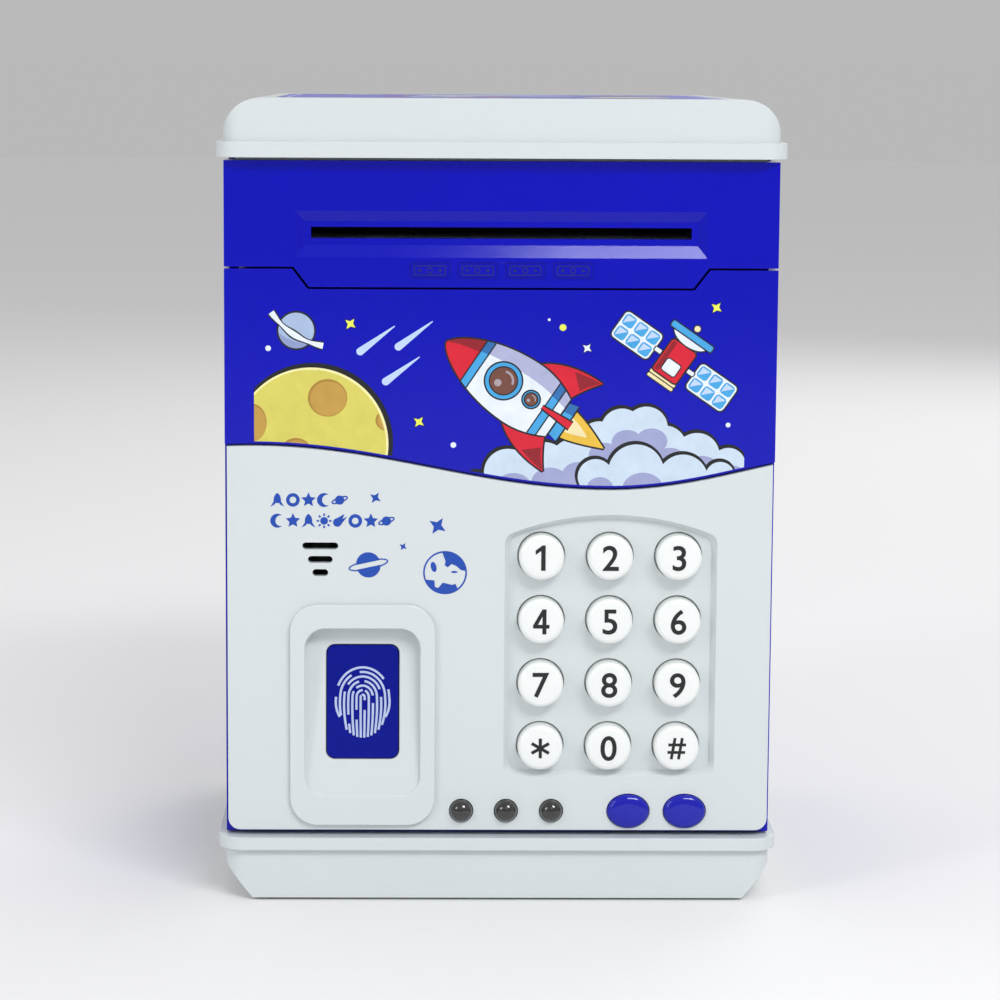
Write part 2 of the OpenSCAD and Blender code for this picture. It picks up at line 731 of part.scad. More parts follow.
// Keypad pocket outline, drawn in by inset
module pocket_outline(inset) {
    r = kp_corner;
    big = kp_arch_r - inset;
    cx = (kp_x0 + kp_x1) / 2;
    cz = kp_top - kp_arch_r;
    dx = (kp_x1 - kp_x0) / 2 - inset - r;
    dz = sqrt(pow(big - r, 2) - dx * dx);
    a = atan2(dz, dx);
    polygon(concat(
        arc(kp_x0 + inset + r, kp_z0 + inset + r, r, 180, 270, 6),
        arc(kp_x1 - inset - r, kp_z0 + inset + r, r, 270, 360, 6),
        arc(cx + dx, cz + dz, r, 0, a, 6),
        arc(cx, cz, big, a, 180 - a, 14),
        arc(cx - dx, cz + dz, r, 180 - a, 180, 6)));
}

module at_keys() {
    for (i = [0:11]) translate([pad_x + (i % 3 - 1) * key_dx, 0, pad_z - floor(i / 3) * key_dz]) children();
}

module door_panel() color("whitesmoke") {
    floor_y = panel_y + pocket_d;
    difference() {
        union() {
            slab(panel_y, panel_y + panel_t) panel_outline(0);
            slab(panel_y + 1, floor_y + pocket_floor) translate([27.65, 64.9])
                square([56.6, 69], center = true);
            for (x = post_x, z = post_z) bar_y(floor_y + 1, -pcb_front, x, z, 2.2);
        }
        hull() {
            slab(panel_y - 1, panel_y + 0.01) pocket_outline(0);
            slab(floor_y - 0.01, floor_y) pocket_outline(1.3);
        }
        at_keys() bar_y(panel_y - 1, -50, 0, 0, key_hole_r);
        for (x = post_x, z = post_z) bar_y(-56, -50, x, z, 0.9);
        slab(panel_y - 1, -50) translate([fp_x, fp_z + 0.8]) round_rect(30.3, 43.9, 4);
        for (s = speaker_slots) slab(panel_y - 1, -50) translate([speaker_x, speaker_z + s[1]])
            round_slot(s[0], slot_t);
        for (x = lamp_x) bar_y(panel_y - 1, -50, x, lamp_z, lamp_r + 0.1);
        for (x = oval_x) slab(panel_y - 1, -50) translate([x, lamp_z])
            polygon(oval(oval_w + 0.4, oval_h + 0.4));
    }
}

module art_label() color("royalblue")
    slab(face_y - label_t, face_y)
        polygon(concat(wave_line(-61, 60.6, 0.7), [[60.6, 151.2], [-61, 151.2]]));

module door_back_outline(inset) {
    intersection() {
        door_outline(wall + inset);
        translate([hinge_x + hinge_r + 0.2 + inset, 0]) square([200, 200]);
    }
}

module door_back() color("whitesmoke") difference() {
    slab(door_back - 2, door_back) door_back_outline(0.2);
    for (p = cover_posts) {
        bar_y(door_back - 3, door_back + 1, p[0], p[1], 1.3);
        bar_y(door_back - 1.1, door_back + 1, p[0], p[1], 2.6);
    }
    block([50.6, -50, hook_z0 - 0.8], [62, -30, hook_z1 + 0.8]);
    for (i = [-3:3]) slab(door_back - 3, door_back + 1) translate([speaker_x, speaker_z + i * 3])
        round_slot(18 - 1.5 * abs(i), 1.4);
}

module door_screws() color("silver") {
    for (p = cover_posts) {
        bar_y(door_back - 1.1, door_back - 0.1, p[0], p[1], 2.4);
        bar_y(-50, door_back - 1, p[0], p[1], 1.1);
    }
    for (x = post_x, z = post_z) {
        bar_y(-pcb_front + pcb_t, -pcb_front + pcb_t + 1.2, x, z, 1.9);
        bar_y(-55, -pcb_front + pcb_t + 0.1, x, z, 0.85);
    }
}

module keypad_board() color("seagreen") difference() {
    slab(-pcb_front, -pcb_front + pcb_t) translate([22, 58.9]) square([73, 77], center = true);
    for (x = post_x, z = post_z) bar_y(-60, -40, x, z, 1);
}

module board_parts() color("#202020") {
    y0 = -pcb_front + pcb_t;
    turned(5, 62) polygon(concat([[0, -y0]], arc(0, 6 - y0, 7.5, -asin(0.8), -90, 6)));
    block([20, y0, 28], [30, y0 + 2, 36]);
    block([-9, y0, 82], [0, y0 + 3, 92]);
    for (i = [0:4]) block([38 + i * 3.2, y0, 27], [40 + i * 3.2, y0 + 1, 28.6]);
    for (x = oval_x) {
        block([x - 3, -54.2, lamp_z - 2.6], [x + 3, -pcb_front, lamp_z + 3]);
        bar_y(-54.3, -54, x, lamp_z, 1.7);
    }
}

module keypad_membrane() color("lightgray") {
    sheet = pcb_front + 1.2;
    difference() {
        slab(-sheet, -pcb_front) translate([pad_x, pad_z - 1.5 * key_dz]) square([50, 64.4], center = true);
        for (x = post_x, z = post_z) bar_y(-60, -40, x, z, 2.8);
    }
    at_keys() turned(0, 0)
        polygon([[0, sheet - 0.2], [3.7, sheet - 0.2], [3.4, sheet + 2], [2.8, key_front - 4.4],
            [2, key_front - 3.5], [0, key_front - 3.5]]);
}

module lamps() color("#404048")
    for (x = lamp_x) turned(x, lamp_z)
        polygon(concat([[0, pcb_front], [3.2, pcb_front], [3.2, pcb_front + 1.2], [lamp_r, pcb_front + 1.2]],
            arc(0, lamp_dome, lamp_r, 0, 90, 12)));

module speaker() color("#303030") turned(speaker_x, speaker_z)
    polygon([[0, 51.4], [6.5, 51.4], [12.5, 53.8], [12.5, 55.8], [11.4, 55.8], [10.8, 54.8],
        [4, 52.8], [3.4, 53.8], [0, 54.6]]);

module speaker_magnet() color("silver") bar_y(-51.4, -46.6, speaker_x, speaker_z, 6.4);

// Places a shape in the leaning frame of the fingerprint floor: x across, z up the floor, y into it
module on_floor() {
    translate([fp_x, fp_floor_y, fp_floor_z]) rotate([-fp_lean, 0, 0]) children();
}

module floor_slab(y0, y1, size, up, r) {
    slab(y0, y1) translate([0, up]) round_rect(size[0], size[1], r);
}

module fingerprint_bezel() color("whitesmoke") {
    up = fp_recess[1] / 2;
    difference() {
        union() {
            slab(fp_front, panel_y) translate([fp_x, fp_z]) round_rect(fp_w, fp_h, 7);
            slab(panel_y - 0.1, -54.5) translate([fp_x, fp_z + 0.8]) round_rect(30, 43.5, 3.8);
        }
        on_floor() floor_slab(-10, 0, fp_recess, up, 5);
        on_floor() difference() {
            floor_slab(1.6, 14, [27, 40.3], up, 2.4);
            for (s = [-1, 1]) bar_y(0, 7.5, s * 10.6, 3.8, 1.8);
        }
        on_floor() floor_slab(-1, 4, fp_pad + [0.4, 0.4], fp_pad_at, 2.2);
    }
}

module fingerprint_pad() color("navy") on_floor() {
    floor_slab(-0.2, 2, fp_pad, fp_pad_at, 2);
    floor_slab(1.9, 2.9, fp_pad + [2.2, 2.2], fp_pad_at, 2);
    bar_y(2.8, 4.2, 0, fp_pad_at, 2);
}

module fingerprint_board() color("seagreen") on_floor() {
    floor_slab(7.5, 8.7, [24, 34], 19.2, 1);
    slab(5.3, 7.5) translate([0, fp_pad_at]) square([6, 6], center = true);
    bar_y(5.1, 5.5, 0, fp_pad_at, 1.7);
}

module oval_button(x) color("blue") translate([x, 0, lamp_z]) {
    slab(-57.7, -55.8) polygon(oval(oval_w + 2, oval_h + 1));
    hull() {
        slab(-60.8, -57) polygon(oval(oval_w, oval_h));
        slab(-61.4, -61.3) polygon(oval(oval_w - 0.8, oval_h - 0.8));
        slab(-61.8, -61.7) polygon(oval(oval_w - 2.2, oval_h - 2.2));
        slab(-62.1, -62) polygon(oval(oval_w - 4.8, oval_h - 4.4));
    }
}

module key() color("white") turned(0, 0)
    polygon([[0, key_front], [3.6, key_front - 0.06], [4.75, key_front - 0.2], [5.3, key_front - 0.5],
        [5.58, key_front - 0.9], [key_r, key_front - 1.4], [key_r, 56.6], [key_flange_r, 56.6],
        [key_flange_r, 55.6], [5.4, 55.6], [5.4, 54.2], [4.1, 54.2], [4.1, key_front - 1.8],
        [0, key_front - 1.8]]);

// ---------- latch ----------

rack_y = latch_z + rack_m * latch_teeth / 2 + 0.05;   // height of the rack's pitch line

module latch_motor() color("silver") {
    block([40, -55.8, 101], [58, -49.5, 118]);
    bar_x(18, 41, -52.1, 109, 3.7);
    bar_y(-50, bolt_y1, latch_x, latch_z, 1);
}

module latch_pinion() color("ivory") difference() {
    slab(bolt_y0, bolt_y1) translate([latch_x, latch_z])
        polygon(gear_points(rack_m, latch_teeth, 90, 0.8, 1.1));
    bar_y(bolt_y0 - 1, bolt_y1 + 1, latch_x, latch_z, 1.02);
}

// Rack teeth pointing down, with a gap centred above the pinion at rest
module rack_outline() {
    pitch = PI * rack_m;
    tip = 0.55 * rack_m;
    root = 1.1 * rack_m;
    half = pitch / 4 - 0.03;
    first = -3;
    count = 7;
    x0 = latch_x + (first - 0.5) * pitch;
    x1 = latch_x + (first + count - 0.5) * pitch;
    polygon(concat([[x0, rack_y + 3], [x0, rack_y + root]],
        [for (i = [0:count - 1]) let (c = latch_x + (first + i) * pitch)
            for (p = [[-half - root * tan(20), root], [-half + tip * tan(20), -tip],
                    [half - tip * tan(20), -tip], [half + root * tan(20), root]])
                [c + p[0] + pitch / 2, rack_y + p[1]]],
        [[x1 + pitch, rack_y + root], [x1 + pitch, rack_y + 3]]));
}

module latch_bolt() color("silver") {
    slab(bolt_y0, bolt_y1) rack_outline();
    block([40, bolt_y0, rack_y + 2], [58.8, bolt_y1, 131]);
    block([52, bolt_y1 - 1, hook_z0], [56, -33, hook_z1]);
    block([55.5, -36.3, hook_z0], [60, -33, hook_z1]);
}

base();
feet();
body_shell();
top_cap();
top_label();
side_labels();
coin_chute();
fascia();
hinge_pins();
strike();
feeder_frame();
note_guide();
note_sensor();
idler_bridge();
shaft_bushes();
feed_motor();
gear_stub();
feed_shaft();
feed_tyres();
idler_roller();
roller_gear();
reduction_gear();
motor_pinion();
battery_box();
battery_contacts();
battery_cells();
battery_cover();
battery_screw();
case_screws();
door_shell();
door_panel();
art_label();
door_back();
door_screws();
keypad_board();
board_parts();
keypad_membrane();
lamps();
speaker();
speaker_magnet();
fingerprint_bezel();
fingerprint_board();
fingerprint_pad();
for (i = [0:1]) oval_button(oval_x[i]);
latch_motor();
latch_pinion();
latch_bolt();
for (i = [0:11]) translate([pad_x + (i % 3 - 1) * key_dx, 0, pad_z - floor(i / 3) * key_dz]) key();
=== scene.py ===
"""Looks of the toy cash-machine money box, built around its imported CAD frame.

Metres, +X right, the front faces -Y, +Z up. Sizes below are written in millimetres times MM.
Every CAD node stays where it is. Its moulded edges come from modifiers and its finish from node materials.
The printing, the numerals, the screw heads and the domed oval buttons are pieces of their own.
"""

import math

import bmesh
import bpy
import numpy
from mathutils import Matrix, Vector, geometry


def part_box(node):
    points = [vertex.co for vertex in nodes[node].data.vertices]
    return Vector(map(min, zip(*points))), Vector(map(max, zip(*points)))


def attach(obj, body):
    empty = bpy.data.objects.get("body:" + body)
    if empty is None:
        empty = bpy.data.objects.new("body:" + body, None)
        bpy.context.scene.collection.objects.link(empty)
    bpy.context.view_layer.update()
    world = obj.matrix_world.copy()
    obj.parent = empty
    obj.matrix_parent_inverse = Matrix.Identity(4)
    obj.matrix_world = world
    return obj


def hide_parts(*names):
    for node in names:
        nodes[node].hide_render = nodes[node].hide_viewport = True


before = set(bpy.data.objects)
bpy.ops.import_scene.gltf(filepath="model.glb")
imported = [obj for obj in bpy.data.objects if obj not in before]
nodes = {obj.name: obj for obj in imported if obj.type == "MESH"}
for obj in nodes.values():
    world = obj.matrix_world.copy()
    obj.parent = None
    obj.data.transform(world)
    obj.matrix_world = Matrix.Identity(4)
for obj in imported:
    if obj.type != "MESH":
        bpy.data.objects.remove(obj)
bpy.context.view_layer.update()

MM = 0.001
scene = bpy.context.scene
KEYS = ["key_1", "key_2", "key_3", "key_4", "key_5", "key_6", "key_7", "key_8", "key_9",
        "key_star", "key_0", "key_hash"]


# ---------- materials ----------

def srgb(red, green, blue):
    """Linear colour of an sRGB one given as 0 to 255."""
    def linear(value):
        value /= 255
        return value / 12.92 if value <= 0.04045 else ((value + 0.055) / 1.055) ** 2.4
    return (linear(red), linear(green), linear(blue), 1.0)


def shade(colour, factor):
    return tuple(min(1.0, c * factor) for c in colour[:3]) + (1.0,)


def new_material(name):
    material = bpy.data.materials.new(name)
    material.use_nodes = True
    return material, material.node_tree, material.node_tree.nodes["Principled BSDF"]


def coordinates(tree, stretch=(1, 1, 1)):
    """Object coordinates in metres, stretched along an axis for brushed or moulded flow marks."""
    source = tree.nodes.new("ShaderNodeTexCoord")
    mapping = tree.nodes.new("ShaderNodeMapping")
    mapping.inputs["Scale"].default_value = stretch
    tree.links.new(source.outputs["Object"], mapping.inputs["Vector"])
    return mapping.outputs["Vector"]


def noise(tree, where, scale, detail, rough=0.5):
    texture = tree.nodes.new("ShaderNodeTexNoise")
    texture.inputs["Scale"].default_value = scale
    texture.inputs["Detail"].default_value = detail
    texture.inputs["Roughness"].default_value = rough
    tree.links.new(where, texture.inputs["Vector"])
    return texture.outputs["Fac"]


def spread(tree, value, low, high, start=0.3, end=0.7):
    """Maps a texture's middle range onto low to high."""
    ranged = tree.nodes.new("ShaderNodeMapRange")
    ranged.inputs["From Min"].default_value = start
    ranged.inputs["From Max"].default_value = end
    ranged.inputs["To Min"].default_value = low
    ranged.inputs["To Max"].default_value = high
    tree.links.new(value, ranged.inputs["Value"])
    return ranged.outputs["Result"]


def blend_colours(tree, factor, first, second):
    mix = tree.nodes.new("ShaderNodeMix")
    mix.data_type = "RGBA"
    mix.inputs["A"].default_value = first
    mix.inputs["B"].default_value = second
    tree.links.new(factor, mix.inputs["Factor"])
    return mix.outputs["Result"]


def bump(tree, shader, height, distance, strength):
    node = tree.nodes.new("ShaderNodeBump")
    node.inputs["Strength"].default_value = strength
    node.inputs["Distance"].default_value = distance
    tree.links.new(height, node.inputs["Height"])
    tree.links.new(node.outputs["Normal"], shader.inputs["Normal"])


def moulded_plastic(name, colour, rough, tone, texture=0.00002, mirror=0.5):
    """Injection-moulded plastic: faint flow variation in colour, hazy handling marks and a fine skin."""
    material, tree, shader = new_material(name)
    where = coordinates(tree)
    clouds = noise(tree, where, 26, 4, 0.6)
    factor = spread(tree, clouds, 0.0, 1.0)
    tree.links.new(blend_colours(tree, factor, shade(colour, 1 - tone), shade(colour, 1 + tone)),
                   shader.inputs["Base Color"])
    haze = noise(tree, where, 70, 5, 0.65)
    tree.links.new(spread(tree, haze, rough * 0.88, rough * 1.14), shader.inputs["Roughness"])
    bump(tree, shader, noise(tree, where, 1500, 3, 0.6), texture, 0.5)
    shader.inputs["Specular IOR Level"].default_value = mirror
    return material


def metal(name, colour, rough):
    """Plated steel or brass with fine drawn lines."""
    material, tree, shader = new_material(name)
    lines = noise(tree, coordinates(tree, (1, 1, 14)), 420, 4, 0.6)
    tree.links.new(blend_colours(tree, spread(tree, lines, 0, 1), shade(colour, 0.82), colour),
                   shader.inputs["Base Color"])
    tree.links.new(spread(tree, lines, rough * 0.7, rough * 1.4), shader.inputs["Roughness"])
    shader.inputs["Metallic"].default_value = 1.0
    bump(tree, shader, lines, 0.00002, 0.4)
    return material


def rubber(name, colour, grain=900):
    material, tree, shader = new_material(name)
    grains = noise(tree, coordinates(tree), grain, 4, 0.7)
    tree.links.new(blend_colours(tree, spread(tree, grains, 0, 1), shade(colour, 0.8), shade(colour, 1.2)),
                   shader.inputs["Base Color"])
    tree.links.new(spread(tree, grains, 0.62, 0.85), shader.inputs["Roughness"])
    bump(tree, shader, grains, 0.00006, 0.6)
    return material


def circuit_board(name):
    """Green solder mask over a faint pattern of traces and pads."""
    material, tree, shader = new_material(name)
    bricks = tree.nodes.new("ShaderNodeTexBrick")
    bricks.inputs["Scale"].default_value = 160
    bricks.inputs["Mortar Size"].default_value = 0.03
    bricks.inputs["Color1"].default_value = srgb(18, 92, 52)
    bricks.inputs["Color2"].default_value = srgb(20, 104, 60)
    bricks.inputs["Mortar"].default_value = srgb(44, 134, 84)
    tree.links.new(coordinates(tree), bricks.inputs["Vector"])
    tree.links.new(bricks.outputs["Color"], shader.inputs["Base Color"])
    bump(tree, shader, bricks.outputs["Fac"], 0.00003, 0.5)
    shader.inputs["Roughness"].default_value = 0.3
    return material


def smoked_lens(name):
    """Dark clear plastic of a lamp, tinted brown-grey."""
    material, tree, shader = new_material(name)
    tint = noise(tree, coordinates(tree), 300, 2)
    tree.links.new(blend_colours(tree, spread(tree, tint, 0, 1), srgb(20, 19, 20), srgb(38, 34, 33)),
                   shader.inputs["Base Color"])
    shader.inputs["Roughness"].default_value = 0.05
    shader.inputs["Transmission Weight"].default_value = 0.3
    shader.inputs["IOR"].default_value = 1.5
    shader.inputs["Coat Weight"].default_value = 1.0
    shader.inputs["Coat Roughness"].default_value = 0.03
    return material


def ink(name, red, green, blue):
    """Printed ink under a glossy film, with a slight unevenness of tone."""
    material, tree, shader = new_material("ink_" + name)
    colour = srgb(red, green, blue)
    mottle = noise(tree, coordinates(tree), 240, 3, 0.6)
    tree.links.new(blend_colours(tree, spread(tree, mottle, 0, 1), shade(colour, 0.95), shade(colour, 1.05)),
                   shader.inputs["Base Color"])
    tree.links.new(spread(tree, mottle, INK_ROUGH * 0.9, INK_ROUGH * 1.15), shader.inputs["Roughness"])
    return material


def printed_sky(name, low, high, glow_colours):
    """Sticker ground: deep blue, turning into soft clouds of the glow colours between two noise levels."""
    material, tree, shader = new_material(name)
    where = coordinates(tree)
    clouds = noise(tree, where, 22, 6, 0.62)
    ramp = tree.nodes.new("ShaderNodeValToRGB")
    ramp.color_ramp.elements[0].position = low
    ramp.color_ramp.elements[0].color = srgb(0, 10, 170)
    ramp.color_ramp.elements[1].position = high
    ramp.color_ramp.elements[1].color = glow_colours[-1]
    for i, colour in enumerate(glow_colours[:-1]):
        element = ramp.color_ramp.elements.new(low + (high - low) * (i + 1) / len(glow_colours))
        element.color = colour
    tree.links.new(clouds, ramp.inputs["Fac"])
    tree.links.new(ramp.outputs["Color"], shader.inputs["Base Color"])
    shader.inputs["Roughness"].default_value = 0.28
    bump(tree, shader, noise(tree, where, 1200, 2), 0.00001, 0.4)
    return material


INK_ROUGH = 0.3
WHITE = srgb(206, 213, 215)
BLUE = srgb(0, 4, 173)
BUTTON_BLUE = srgb(0, 8, 164)

white_gloss = moulded_plastic("white_gloss", WHITE, 0.19, 0.006, 0.00001)
white_key = moulded_plastic("white_key", srgb(232, 235, 234), 0.2, 0.006, 0.00001)
blue_gloss = moulded_plastic("blue_gloss", BLUE, 0.12, 0.03, 0.00001, mirror=0.28)
button_blue = moulded_plastic("button_blue", BUTTON_BLUE, 0.08, 0.03, 0.00001)
pad_blue = moulded_plastic("pad_blue", srgb(6, 18, 132), 0.2, 0.05, 0.00001, mirror=0.12)
inner_grey = moulded_plastic("inner_grey", srgb(176, 180, 184), 0.45, 0.05, 0.00004)
inner_black = moulded_plastic("inner_black", srgb(34, 34, 37), 0.42, 0.08, 0.00004)
gear_white = moulded_plastic("gear_white", srgb(226, 222, 206), 0.36, 0.02)
cell_wrap = moulded_plastic("cell_wrap", srgb(168, 118, 40), 0.25, 0.05)
steel = metal("steel", srgb(198, 202, 206), 0.3)
brass = metal("brass", srgb(206, 164, 92), 0.28)
feet_rubber = rubber("feet_rubber", srgb(52, 52, 55))
tyre_rubber = rubber("tyre_rubber", srgb(38, 38, 40), 500)
silicone = rubber("silicone", srgb(192, 194, 192))
board = circuit_board("board")
lens = smoked_lens("lens")
paper_cone = rubber("paper_cone", srgb(30, 30, 33), 1400)

FINISH = {
    "base": white_gloss, "feet": feet_rubber, "body_shell": blue_gloss, "top_cap": white_gloss,
    "coin_chute": inner_grey, "fascia": blue_gloss, "hinge_pins": steel, "strike": steel,
    "feeder_frame": inner_grey, "note_guide": inner_grey, "note_sensor": inner_black,
    "idler_bridge": inner_grey, "shaft_bushes": brass, "feed_motor": steel, "gear_stub": steel,
    "battery_box": inner_black, "battery_contacts": steel, "battery_cells": cell_wrap,
    "case_screws": steel, "feed_shaft": steel, "feed_tyres": tyre_rubber, "roller_gear": gear_white,
    "idler_roller": gear_white, "reduction_gear": gear_white, "motor_pinion": gear_white,
    "battery_cover": blue_gloss, "battery_screw": steel, "door_shell": blue_gloss,
    "door_panel": white_gloss, "art_label": blue_gloss, "door_back": inner_grey, "door_screws": steel,
    "keypad_board": board, "board_parts": inner_black, "keypad_membrane": silicone, "lamps": lens,
    "speaker": paper_cone, "speaker_magnet": steel, "fingerprint_bezel": white_gloss,
    "fingerprint_board": board, "fingerprint_pad": pad_blue, "latch_motor": steel,
    "latch_pinion": gear_white, "latch_bolt": steel,
}
FINISH.update({key: white_key for key in KEYS})
FINISH.update({"oval_button_1": button_blue, "oval_button_2": button_blue})
FINISH["top_label"] = printed_sky("top_sky", 0.48, 0.8, [srgb(52, 40, 190), srgb(150, 70, 180),
                                                        srgb(240, 150, 90)])
FINISH["side_labels"] = printed_sky("side_sky", 0.5, 0.85, [srgb(20, 40, 190), srgb(80, 70, 205),
                                                            srgb(190, 110, 190)])


def finish_node(name, material):
    mesh = nodes[name].data
    mesh.materials.clear()
    mesh.materials.append(material)


OPEN_FRAMES = ("door_shell", "body_shell", "coin_chute")      # flat faces round large openings stay split
WELD_GAP = 0.002          # millimetres
FLAT_ANGLE = 0.4          # degrees; faces this close to one plane are merged
EDGE_ANGLE = 20           # degrees; edges sharper than this are rounded
EDGE_SEGMENTS = 3
EDGE_RADIUS = {           # millimetres
    "base": 0.8, "top_cap": 0.9, "body_shell": 0.5, "fascia": 0.45, "door_shell": 0.45, "door_panel": 0.5,
    "fingerprint_bezel": 0.7, "fingerprint_pad": 0.3, "battery_cover": 0.3, "door_back": 0.3,
    "feeder_frame": 0.3, "strike": 0.2, "coin_chute": 0.3, "battery_box": 0.3, "latch_bolt": 0.2,
    "latch_motor": 0.3,
}


def soften(name, radius):
    """Moulded edge radius on a CAD node: joined corners, merged flat faces, a bevel and even shading."""
    target = nodes[name]
    weld = target.modifiers.new("weld", "WELD")
    weld.merge_threshold = WELD_GAP * MM
    if name not in OPEN_FRAMES:
        flat = target.modifiers.new("flat", "DECIMATE")
        flat.decimate_type = "DISSOLVE"
        flat.angle_limit = math.radians(FLAT_ANGLE)
    edge = target.modifiers.new("edge", "BEVEL")
    edge.width = radius * MM
    edge.segments = EDGE_SEGMENTS
    edge.limit_method = "ANGLE"
    edge.angle_limit = math.radians(EDGE_ANGLE)
    edge.miter_outer = "MITER_ARC"
    target.modifiers.new("shading", "WEIGHTED_NORMAL")


for node_name, node_finish in FINISH.items():
    finish_node(node_name, node_finish)
for polygon_mesh in {node.data for node in nodes.values()}:
    polygon_mesh.polygons.foreach_set("use_smooth", [True] * len(polygon_mesh.polygons))

for node_name, node_radius in EDGE_RADIUS.items():
    soften(node_name, node_radius)


# ---------- camera, light and floor ----------

def make_camera():
    """A long lens in front of the bank, a little left of its middle and level with its top."""
    data = bpy.data.cameras.new("camera")
    data.lens = 103.2
    data.sensor_width = 36
    data.shift_x = 0.0518
    data.shift_y = -0.0826
    data.clip_end = 20
    camera = bpy.data.objects.new("camera", data)
    scene.collection.objects.link(camera)
    down, turn, roll = (math.radians(a) for a in (6.93, 0.654, 0.277))
    camera.rotation_euler = (Matrix.Rotation(-turn, 3, "Z") @ Matrix.Rotation(math.pi / 2 - down, 3, "X")
                             @ Matrix.Rotation(roll, 3, "Z")).to_euler()
    camera.location = Vector((-20.9, -761, 207.1)) * MM
    scene.camera = camera


def soft_light(name, place, aim, size, power):
    data = bpy.data.lights.new(name, "AREA")
    data.shape = "RECTANGLE"
    data.size, data.size_y = size
    data.energy = power
    data.spread = math.pi
    light = bpy.data.objects.new(name, data)
    scene.collection.objects.link(light)
    light.location = place
    light.rotation_euler = (Vector(aim) - Vector(place)).to_track_quat("-Z", "Y").to_euler()


FLOOR_RADIUS = 6             # metres


def make_floor():
    """A pale round floor, wide enough to fade into the world's own horizon."""
    build = bmesh.new()
    bmesh.ops.create_circle(build, cap_ends=True, segments=96, radius=FLOOR_RADIUS)
    mesh = bpy.data.meshes.new("floor")
    build.to_mesh(mesh)
    build.free()
    floor = bpy.data.objects.new("floor", mesh)
    scene.collection.objects.link(floor)
    material, _, shader = new_material("floor")
    shader.inputs["Base Color"].default_value = (0.8, 0.8, 0.81, 1)
    shader.inputs["Roughness"].default_value = 0.8
    shader.inputs["Specular IOR Level"].default_value = 0.1
    mesh.materials.append(material)


def make_world():
    """Even pale light, a little dimmer at the horizon so that floor and sky meet without a line."""
    world = bpy.data.worlds.new("world")
    scene.world = world
    world.use_nodes = True
    tree = world.node_tree
    source = tree.nodes.new("ShaderNodeTexCoord")
    height = tree.nodes.new("ShaderNodeSeparateXYZ")
    tree.links.new(source.outputs["Generated"], height.inputs["Vector"])
    factor = spread(tree, height.outputs["Z"], 0.0, 1.0, 0.0, 0.5)
    pale = (WORLD_LIGHT,) * 3 + (1,)
    sky = tree.nodes["Background"]
    tree.links.new(blend_colours(tree, factor, shade(pale, 0.78), pale), sky.inputs["Color"])
    sky.inputs["Strength"].default_value = 1.0


WORLD_LIGHT = 0.62
make_camera()
make_floor()
make_world()
soft_light("key", (0.41, -0.92, 0.95), (0, -0.06, 0.15), (0.72, 0.26), 8.5)
soft_light("fill", (-0.95, -0.8, 0.6), (0, 0, 0.1), (0.25, 0.8), 3)
soft_light("top", (0, 0.15, 1.2), (0, 0, 0.1), (0.9, 0.7), 2)
soft_light("back", (0.5, 1.0, 0.7), (0, 0, 0.1), (0.7, 0.7), 3)
scene.view_settings.view_transform = "Standard"


# ---------- flat printing ----------

LIFT = 0.03 * MM             # a print stands this far above its surface


def ellipse(cx, cy, rx, ry=None, turn=0.0, start=0.0, end=360.0, count=48):
    """Points of an ellipse, or of an arc of one."""
    ry = rx if ry is None else ry
    steps = count if end - start >= 360 else count + 1
    angles = [math.radians(start + (end - start) * i / count) for i in range(steps)]
    return turned([(rx * math.cos(a), ry * math.sin(a)) for a in angles], cx, cy, turn)


def turned(points, cx, cy, angle=0.0, size=1.0):
    """Local points scaled by size, turned by angle and moved to (cx, cy)."""
    c, s = size * math.cos(math.radians(angle)), size * math.sin(math.radians(angle))
    return [(cx + x * c - y * s, cy + x * s + y * c) for x, y in points]


def rounded_box(w, h, r, x=0.0, y=0.0, count=5):
    """Outline of a w by h box with round corners about (x, y)."""
    points = []
    for sx, sy, start in ((1, 1, 0), (-1, 1, 90), (-1, -1, 180), (1, -1, 270)):
        for i in range(count + 1):
            a = math.radians(start + 90 * i / count)
            points.append((x + sx * (w / 2 - r) + r * math.cos(a), y + sy * (h / 2 - r) + r * math.sin(a)))
    return points


def star(r, arms=4, waist=0.42, turn=45.0):
    radii = [r if i % 2 == 0 else r * waist for i in range(2 * arms)]
    angles = [math.radians(turn + 180 * i / arms) for i in range(2 * arms)]
    return [(q * math.cos(a), q * math.sin(a)) for q, a in zip(radii, angles)]


def curve(a, b, c, count):
    """Quadratic curve from a to c, pulled towards b."""
    steps = [i / count for i in range(count + 1)]
    return [tuple((1 - t) ** 2 * a[k] + 2 * t * (1 - t) * b[k] + t * t * c[k] for k in (0, 1)) for t in steps]


def covered(points, spots):
    """Indices of the spots inside an outline, which may cross itself."""
    low, high = numpy.min(points, 0), numpy.max(points, 0)
    near = numpy.flatnonzero(numpy.all((spots > low) & (spots < high), axis=1))
    x, y = spots[near].T
    turns = numpy.zeros(len(near), int)
    for (x0, y0), (x1, y1) in zip(points, points[1:] + points[:1]):
        left = (x1 - x0) * (y - y0) - (x - x0) * (y1 - y0)
        turns += ((y0 <= y) & (y1 > y) & (left > 0)).astype(int) - ((y0 > y) & (y1 <= y) & (left < 0))
    return near[turns != 0]


